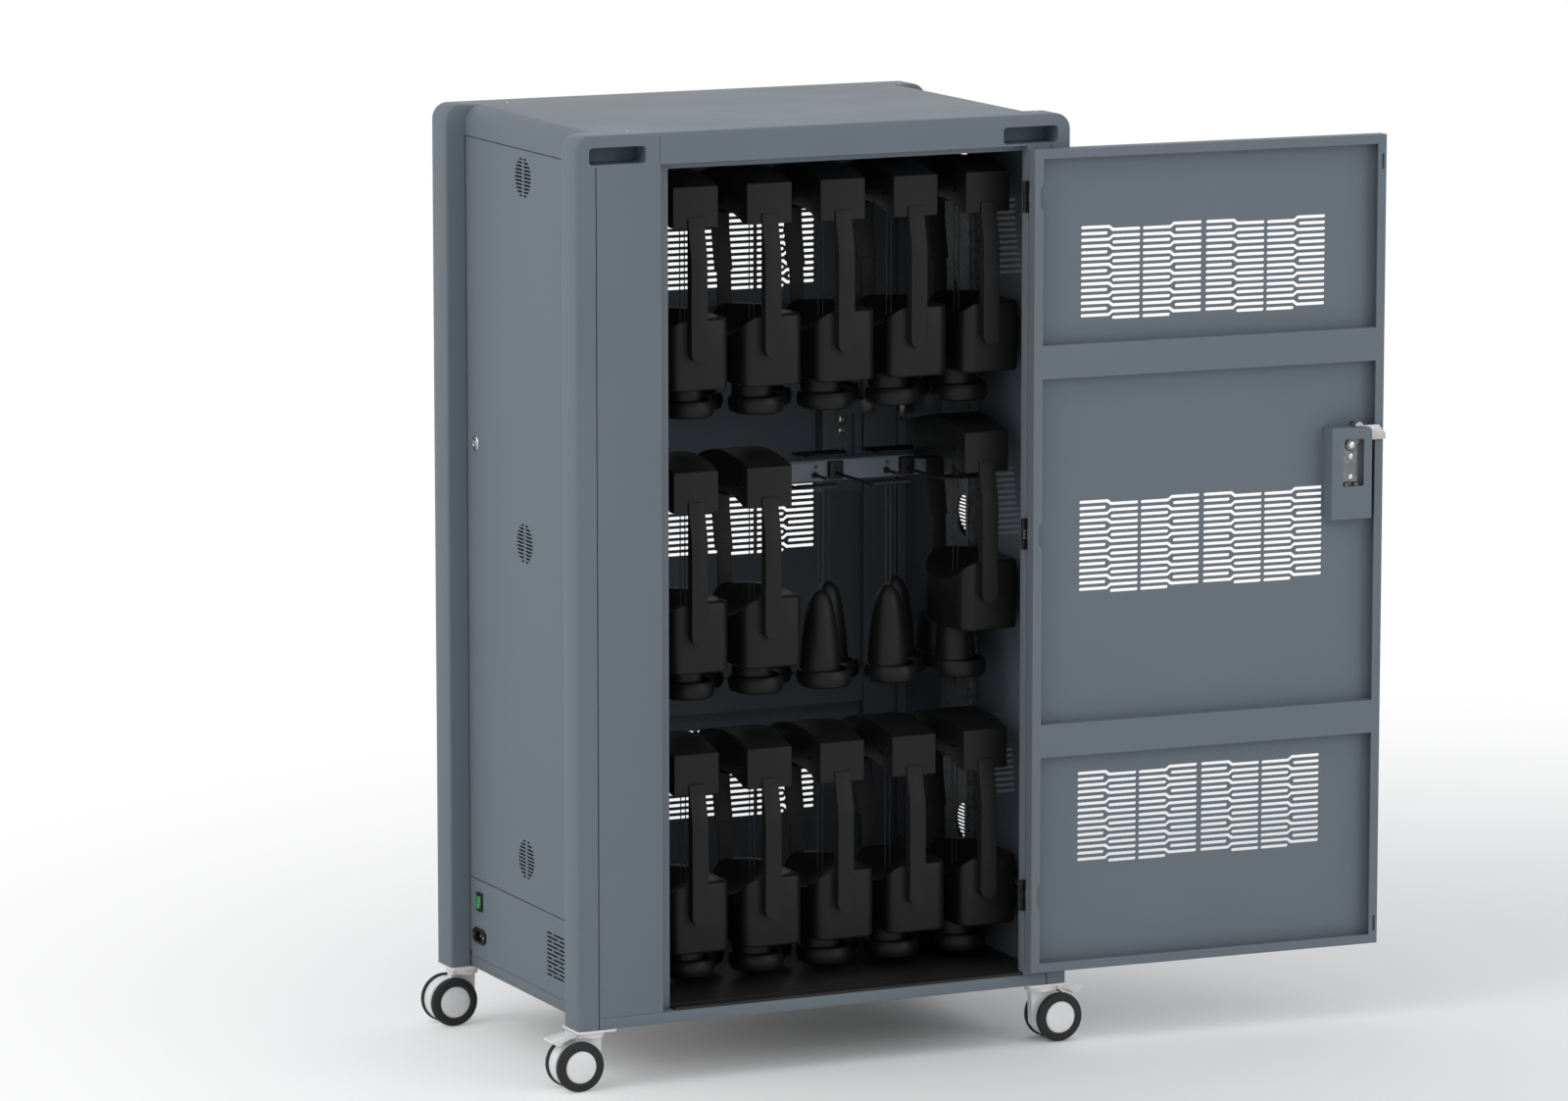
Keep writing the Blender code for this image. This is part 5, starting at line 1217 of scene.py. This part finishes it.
def makeLockBox():  # folded case, open at the top and free side where the tongue swings
    k = lockSizes
    skin = -cabinet["deep"] + doorSizes["sheet"]
    x0, x1 = doorX(k["u"][1]), doorX(k["u"][0])
    z0, z1 = k["z"]
    out = skin + k["proud"]
    corner = k["corner"]
    ring = [(x1, z0), (x1, z1)] + arc(x0 + corner, z1 - corner, corner, range(90, 181, 15)) + [(x0, z0)]
    w0, w1 = k["windowZ"]
    sight = roundRectangle(x1 - k["window"][1], x1 - k["window"][0], w0, w1, 0.002, 3)
    front = cutPlate("front", ring, [sight], out - k["sheet"], out, "XZ")

    def outerEdge(a, b):  # foot, sides and top of the case's front, not its window
        atSide = abs(a.x - b.x) < same and min(abs(a.x - x1), abs(a.x - x0)) < close
        atEnd = max(a.z, b.z) < z0 + close or min(a.z, b.z) > z1 - corner - 1e-4
        return min(a.y, b.y) > out - same and (atSide or atEnd)

    bevelEdges(front, outerEdge, 0.0012, 2)
    open0, open1 = k["tongueZ"][0] - 0.002, doorX(k["spindleU"]) + 0.0073
    t, gap = k["sheet"], cabinet["gap"]
    fold = [(x1, z0), (x1, z1), (open1, z1), (open1, z1 - t), (x1 - t, z1 - t), (x1 - t, z0 + t),
            (x0 + t, z0 + t), (x0 + t, open0), (x0, open0), (x0, z0)]
    walls = cutPlate("walls", fold, [], skin + gap, out - t, "XZ")
    foot = addBlock("foot", (x1 - 0.0005, skin + gap, z0 + 0.004), (x1 + 0.0035, skin + 0.0022, z1 - 0.006))
    bevelEdges(foot, lambda a, b: alongY(a, b) and a.x > x1 + 0.003, 0.0025, 3)
    shield = addBlock("shield", (x0 + 0.0025, out - 0.0165, z0 + 0.0025),
                      (x1 - 0.0025, out - 0.0138, w1 + 0.004))
    box = joinAll("lockBox", [front, walls, foot, shield])

    # works: plate on the case, cam with its arm, three screws, feet
    camX, camZ, camR, camHole = k["cam"]
    screwX, camZ, deep = x1 - camX, z0 + camZ, out - k["worksDeep"]
    far, near, low, high = k["works"]
    plate = cutPlate("plate", roundRectangle(x1 - far, x1 - near, z0 + low, z0 + high, 0.002, 3),
                     [circle(screwX, camZ, camHole, 32)], deep - k["worksSheet"], deep, "XZ")
    brace = addBlock("brace", (x1 - 0.0036, deep - k["worksSheet"], z0 + 0.060),
                     (x1 - 0.0029, deep + 0.0060, z0 + 0.122))
    armX, armHigh, armLow = k["camArm"]
    ring = arc(screwX, camZ, camR, range(214, 455, 12)) + [(x1 - armX, z0 + armHigh),
                                                           (x1 - armX, z0 + armLow)]
    cam = cutPlate("cam", ring, [], deep - 0.0010, deep + k["camThick"], "XZ", 0.0004)
    feet = [addBlock("foot", (x1 - x - 0.0034, deep - 0.002, z0 + 0.0495),
                     (x1 - x + 0.0034, deep + 0.003, z0 + 0.0538)) for x in k["feet"]]
    feet += [addBlock("foot", (screwX + 0.0012, deep - 0.002, z0 + 0.0520),
                      (screwX + 0.0038, deep + 0.001, z0 + 0.0565))]
    for piece in feet:
        bevelEdges(piece, alongY, 0.0008, 2)
    works = joinAll("works", [plate, brace, cam] + feet)

    screws = []
    for count, (rise, radius) in enumerate(k["screws"]):
        z, low = z0 + rise, deep + (k["camThick"] if count == 0 else 0.0)  # the first stands on the cam
        head = [(0.0, 0.0026), (radius * 0.55, 0.0026), (radius * 0.92, 0.0016), (radius, 0.0006),
                (radius, -gap), (0.0, -gap)]
        screw = spinProfile("screw", head, (screwX, low, z), "Y", 24)
        cutWith(screw, addRod("socket", (screwX, low + 0.003, z), "Y", radius * 0.52, 0.003, 6))
        screws.append(screw)
    return box, works, joinAll("lockScrews", screws)


def makeLatch():  # flat tongue just behind the case's front, on the spindle of the lever outside
    k = lockSizes
    face = -cabinet["deep"]
    out = face + doorSizes["sheet"] + k["proud"]
    low, high = out - k["tongueDeep"][0], out - k["tongueDeep"][1]
    pivotX, pivotZ = doorX(k["spindleU"]), k["spindleZ"]
    tip = pivotX - k["tongueTip"]
    z0, z1 = k["tongueZ"]
    ring = [(pivotX + 0.004, z0 + 0.012), (pivotX + 0.004, z1), (tip + k["chamfer"][0], z1),
            (tip, z1 - k["chamfer"][1]), (tip, z0 + 0.0015), (tip + 0.0015, z0), (pivotX - 0.006, z0)]
    tongue = cutPlate("tongue", ring, [], low, high, "XZ", 0.0004)
    radius, proud = k["spindle"]
    start, end = face - proud, low + 0.001
    spindle = roundRod("spindle", (pivotX, (start + end) / 2, pivotZ), "Y", radius, end - start, 0.0005, 20)
    rim, step = k["boss"], high - low
    boss = spinProfile("boss", [(0.0, step - 0.0008), (0.0014, step - 0.0008), (0.0016, step + 0.0002),
                                (rim - 0.0008, step + 0.0004), (rim, step - 0.0004), (rim, 0.0),
                                (0.0, 0.0)], (pivotX, low, pivotZ), "Y", 28)
    latch = joinAll("latch", [tongue, boss])

    rise, drop, wide = k["leverTop"]
    slim, (deep, shallow) = k["leverFoot"], k["leverDeep"]
    ring = arc(pivotX, pivotZ + rise - drop, wide, range(0, 181, 15))
    ring += arc(pivotX, pivotZ - k["lever"] + slim, slim, [180 + 22.5 * i for i in range(9)])
    lever = cutPlate("lever", ring, [], face - deep, face - shallow, "XZ", 0.0025)
    rose = spinProfile("rose", k["rose"], (pivotX, face, pivotZ), "Y", 28)
    return latch, spindle, joinAll("lever", [lever, rose])


def makeDoors():
    pan, knuckles = makeDoorPan(), makeKnuckles()
    print("door pan made, faces:", len(pan.data.polygons))
    box, works, bolts = makeLockBox()
    latch, spindle, lever = makeLatch()
    parts = ((pan, "pan", "door", "slatePaint", "door"),
             (knuckles, "knuckles", "door", "blackPlastic", None),
             (box, "lock_case", "door", "slatePaint", "lock_box"),
             (works, "lock_works", "door", "zincSheet", None),
             (bolts, "lock_screws", "door", "screwSteel", None),
             (latch, "tongue", "latch", "nickel", "latch"),
             (spindle, "spindle", "latch", "slatePaint", None),
             (lever, "lever", "latch", "blackPlastic", "handle"))
    for prefix, move in (("rear", rearDoor), ("front", openDoor)):
        for piece, name, body, finish, node in parts:
            nodes = [prefix + "_" + node] if node else []
            finishPiece(copyPiece(piece, name), prefix + "_" + name, prefix + "_" + body, finish, nodes,
                        move)
    for count, z in enumerate(hingeSizes["z"]):
        hinge, screws = makeFrameHinge(z), makeHingeScrews(z)
        for prefix, move in (("rear", rearDoor), ("front", None)):
            tag = "%s_hinge_%d" % (prefix, count + 1)
            nodes = [tag] if prefix == "front" else []
            finishPiece(copyPiece(hinge, "hinge"), tag + "_leaf", "cabinet", "blackPlastic", nodes, move)
            finishPiece(copyPiece(screws, "screws"), tag + "_screws", "cabinet", "screwSteel", [], move)
        dropAll(hinge, screws)
    dropAll(*[row[0] for row in parts])
    print("doors hung")


# casters: plate, hooded fork, twin wheels with domed hubs; pedals on the front pair
casterSizes = {"x": 0.370, "y": 0.240, "plate": 0.064, "thick": 0.003, "trail": 0.024, "wheel": 0.0375,
               "tyre": 0.017, "pitch": 0.036, "hood": 0.0345, "brow": 0.0388,
               "slot": (0.023, 0.0045, 0.003)}


def makeCasters():
    c = casterSizes
    r = c["wheel"]
    plateTop = cabinet["low"] - cabinet["gap"]
    crownTop, crownLow = plateTop - c["thick"] - cabinet["gap"], 2 * r + 0.0025
    w = c["plate"] / 2
    spot, long, wide = c["slot"]
    slotted = [roundRectangle(sx * spot - long, sx * spot + long, sy * spot - wide, sy * spot + wide,
                              0.0028, 3) for sx in (-1, 1) for sy in (-1, 1)]
    plate = cutPlate("plate", roundRectangle(-w, w, -w, w, 0.007, 4), slotted, plateTop - c["thick"],
                     plateTop, "XY")
    crown = spinProfile("crown", [(0.0, crownTop), (0.0195, crownTop), (0.0215, crownTop - 0.0012),
                                  (0.0220, crownTop - 0.004), (0.0220, crownLow + 0.001),
                                  (0.0205, crownLow), (0.0, crownLow)], (0, 0, 0), "Z", 40)
    wx = c["trail"]
    neck = cutPlate("neck", [(-0.0155, r + 0.006), (-0.0165, crownLow + 0.002), (-0.004, crownLow + 0.006),
                             (wx, crownLow + 0.006), (wx, r + 0.004)], [], -0.0074, 0.0074, "XZ", 0.0015)
    hood = arc(wx, r, c["brow"], range(100, 201, 5)) + arc(wx, r, c["hood"], range(205, 456, 10))
    web = cutPlate("web", hood, [circle(wx, r, 0.0044, 16)], -0.0073, 0.0073, "XZ")
    shelf = addBlock("shelf", (0.008, -0.0135, crownLow + 0.0002), (wx - 0.0004, 0.0135, crownTop - 0.0002))
    bevelEdges(shelf, lambda a, b: alongZ(a, b) or min(a.z, b.z) > crownTop - 0.001, 0.0018, 2)
    fork = joinAll("fork", [crown, neck, web, shelf])
    half = c["tyre"] / 2
    tyre = [(0.0246, half), (0.0262, half), (0.0335, half - 0.0004), (0.0362, half - 0.0020),
            (0.0375, half - 0.0046), (0.0375, half - 0.0080), (0.0368, half - 0.0098),
            (0.0352, half - 0.0105), (0.0246, half - 0.0105), (0.0246, half)]
    hub = [(0.0, half + 0.0012), (0.0080, half + 0.0010), (0.0160, half + 0.0004), (0.0225, half - 0.0006),
           (0.0243, half - 0.0016), (0.0243, half - 0.0107), (0.0340, half - 0.0108),
           (0.0348, half - 0.0118), (0.0348, -half + 0.0015), (0.0335, -half), (0.0200, -half + 0.0018),
           (0.0070, -half + 0.0016), (0.0055, -half - 0.0006), (0.0038, -half - 0.0006),
           (0.0038, -half - 0.0095), (0.0, -half - 0.0095)]
    tyres, hubs = [], []
    for side in (-1, 1):
        place = (wx, side * c["pitch"] / 2, r)
        tyres.append(spinProfile("tyre", [(p, side * h) for p, h in tyre], place, "Y", 56))
        hubs.append(spinProfile("hub", [(p, side * h) for p, h in hub], place, "Y", 48))
    tyre, hub = joinAll("tyres", tyres), joinAll("hubs", hubs)
    hubZ = (crownTop + crownLow) / 2
    hubX = wx + 0.0043
    wedge = [(hubX + 0.001, hubZ + 0.0036), (0.0600, hubZ - 0.0022), (0.0672, hubZ - 0.0042),
             (0.0682, hubZ - 0.0060), (0.0640, hubZ - 0.0092), (0.0560, hubZ - 0.0136),
             (0.0515, hubZ - 0.0138), (0.0480, hubZ - 0.0105), (0.0430, hubZ - 0.0076),
             (0.0360, hubZ - 0.0054), (hubX + 0.001, hubZ - 0.0040)]
    tread = cutPlate("tread", wedge, [], -0.0128, 0.0128, "XZ", 0.0009)
    cutWith(tread, addBlock("slit", (0.036, -0.0075, hubZ + 0.0005), (0.040, 0.0075, hubZ + 0.02)))
    barrel = roundRod("barrel", (hubX, 0, hubZ), "Y", 0.0040, 0.0278, 0.0006, 24)
    pedal = joinAll("pedal", [barrel, tread])
    for end, y in (("front", -1), ("rear", 1)):
        for side, x in (("left", -1), ("right", 1)):
            tag = "%s_%s" % (end, side)
            move = Matrix.Translation((x * c["x"], y * c["y"], 0))
            if x < 0:
                move = move @ Matrix.Rotation(math.pi, 4, "Z")
            rows = [(plate, "plate_" + tag, "cabinet", "casterWhite", ["caster_plate_" + tag]),
                    (fork, "fork_" + tag, "caster_" + tag, "casterWhite", ["caster_fork_" + tag]),
                    (tyre, "tyres_" + tag, "wheels_" + tag, "wheelRubber", ["caster_wheels_" + tag]),
                    (hub, "hubs_" + tag, "wheels_" + tag, "casterWhite", [])]
            if end == "front":
                rows.append((pedal, "pedal_" + side, "brake_" + side, "casterWhite",
                             ["brake_pedal_" + side]))
            for piece, name, body, finish, nodes in rows:
                finishPiece(copyPiece(piece, name), name, body, finish, nodes, move)
    dropAll(plate, fork, tyre, hub, pedal)
    print("casters fitted")


# plain pale floor, soft light and the camera
stageSizes = {"floor": 14.0, "floorTone": (0.93, 0.93, 0.93, 1), "shade": (0.75, -0.20, 0.0),
              "fade": (0.7, 2.8), "world": 0.76, "sky": (0.97, 0.985, 1.0, 1), "lampSize": 3.0,
              "lamps": {"key": ((-4.7, -0.8, 3.9), (0, 0, 0.6), 72.0),
                        "fill": ((3.5, -5.5, 3.0), (0, 0, 0.7), 52.0)}}
cameraSizes = {"lens": 173.36, "sensor": 36.0, "far": 100.0, "place": (-4.6978, -10.1741, 2.5628),
               "turn": (80.7547, 0.0, -25.0515)}


def seenMask(tree):  # 1 where the camera sees it, straight, mirrored or through glass
    path = addNode(tree, "ShaderNodeLightPath")
    seen = addNode(tree, "ShaderNodeMath",
                   [(0, path.outputs["Is Camera Ray"]), (1, path.outputs["Is Glossy Ray"])],
                   operation="MAXIMUM")
    return addNode(tree, "ShaderNodeMath", [(0, seen.outputs[0]), (1, path.outputs["Is Transmission Ray"])],
                   operation="MAXIMUM").outputs[0]


def makeStage():
    clearPick()
    bpy.ops.mesh.primitive_plane_add(size=stageSizes["floor"], location=(0, 0, 0))
    floor = bpy.context.object
    floor.name = "floor"
    material = bpy.data.materials.new("paleFloor")
    material.use_nodes = True
    tree = material.node_tree
    shader = tree.nodes["Principled BSDF"]
    shader.inputs["Base Color"].default_value = stageSizes["floorTone"]
    shader.inputs["Roughness"].default_value = 0.9
    shader.inputs["Specular IOR Level"].default_value = 0.1
    place = addNode(tree, "ShaderNodeTexCoord").outputs["Object"]
    away = addNode(tree, "ShaderNodeVectorMath", [(0, place), (1, stageSizes["shade"])],
                   operation="DISTANCE")
    near, far = stageSizes["fade"]
    fade = addNode(tree, "ShaderNodeMapRange",
                   [("Value", away.outputs["Value"]), ("From Min", near), ("From Max", far)],
                   interpolation_type="SMOOTHSTEP")
    white = addNode(tree, "ShaderNodeEmission", [("Color", (1, 1, 1, 1)), ("Strength", 1.0)])
    share = addNode(tree, "ShaderNodeMath", [(0, fade.outputs[0]), (1, seenMask(tree))],
                    operation="MULTIPLY")
    mix = addNode(tree, "ShaderNodeMixShader",
                  [(0, share.outputs[0]), (1, shader.outputs[0]), (2, white.outputs[0])])
    tree.links.new(mix.outputs[0], tree.nodes["Material Output"].inputs["Surface"])
    floor.data.materials.append(material)

    world = bpy.data.worlds.new("paleRoom")
    bpy.context.scene.world = world
    world.use_nodes = True
    tree = world.node_tree
    tree.nodes.clear()
    soft = addNode(tree, "ShaderNodeBackground",
                   [("Color", stageSizes["sky"]), ("Strength", stageSizes["world"])])
    white = addNode(tree, "ShaderNodeBackground", [("Color", (1, 1, 1, 1)), ("Strength", 1.0)])
    mix = addNode(tree, "ShaderNodeMixShader",
                  [(0, seenMask(tree)), (1, soft.outputs[0]), (2, white.outputs[0])])
    addNode(tree, "ShaderNodeOutputWorld", [("Surface", mix.outputs[0])])

    for name, (spot, aim, power) in stageSizes["lamps"].items():
        lamp = bpy.data.lights.new(name, "AREA")
        lamp.size = stageSizes["lampSize"]
        lamp.energy = power
        obj = bpy.data.objects.new(name, lamp)
        obj.location = spot
        obj.rotation_euler = (Vector(aim) - Vector(spot)).to_track_quat("-Z", "Y").to_euler()
        bpy.context.scene.collection.objects.link(obj)

    camera = bpy.data.cameras.new("photoCamera")
    camera.lens = cameraSizes["lens"]
    camera.sensor_width = cameraSizes["sensor"]
    camera.clip_end = cameraSizes["far"]
    eye = bpy.data.objects.new("photoCamera", camera)
    eye.location = Vector(cameraSizes["place"]) + cartPlace
    eye.rotation_euler = [math.radians(angle) for angle in cameraSizes["turn"]]
    bpy.context.scene.collection.objects.link(eye)
    bpy.context.scene.camera = eye
    bpy.context.scene.view_settings.view_transform = "Standard"


makeCover()
makePosts()
makeFrame(-1, "front_face_frame")
makeFrame(1, "rear_face_frame")
makeBase()
for side, x in (("left", -1), ("right", 1)):
    makeSide(side, x)
outside = cabinet["gap"] - cabinet["half"]
makeSwitch(outside)
makeInlet(outside)
print("cabinet closed in")
makeUprights()
makeRack()
print("rack hung")
makeStores()
makeDoors()
makeCasters()
makeStage()
print("stage set")
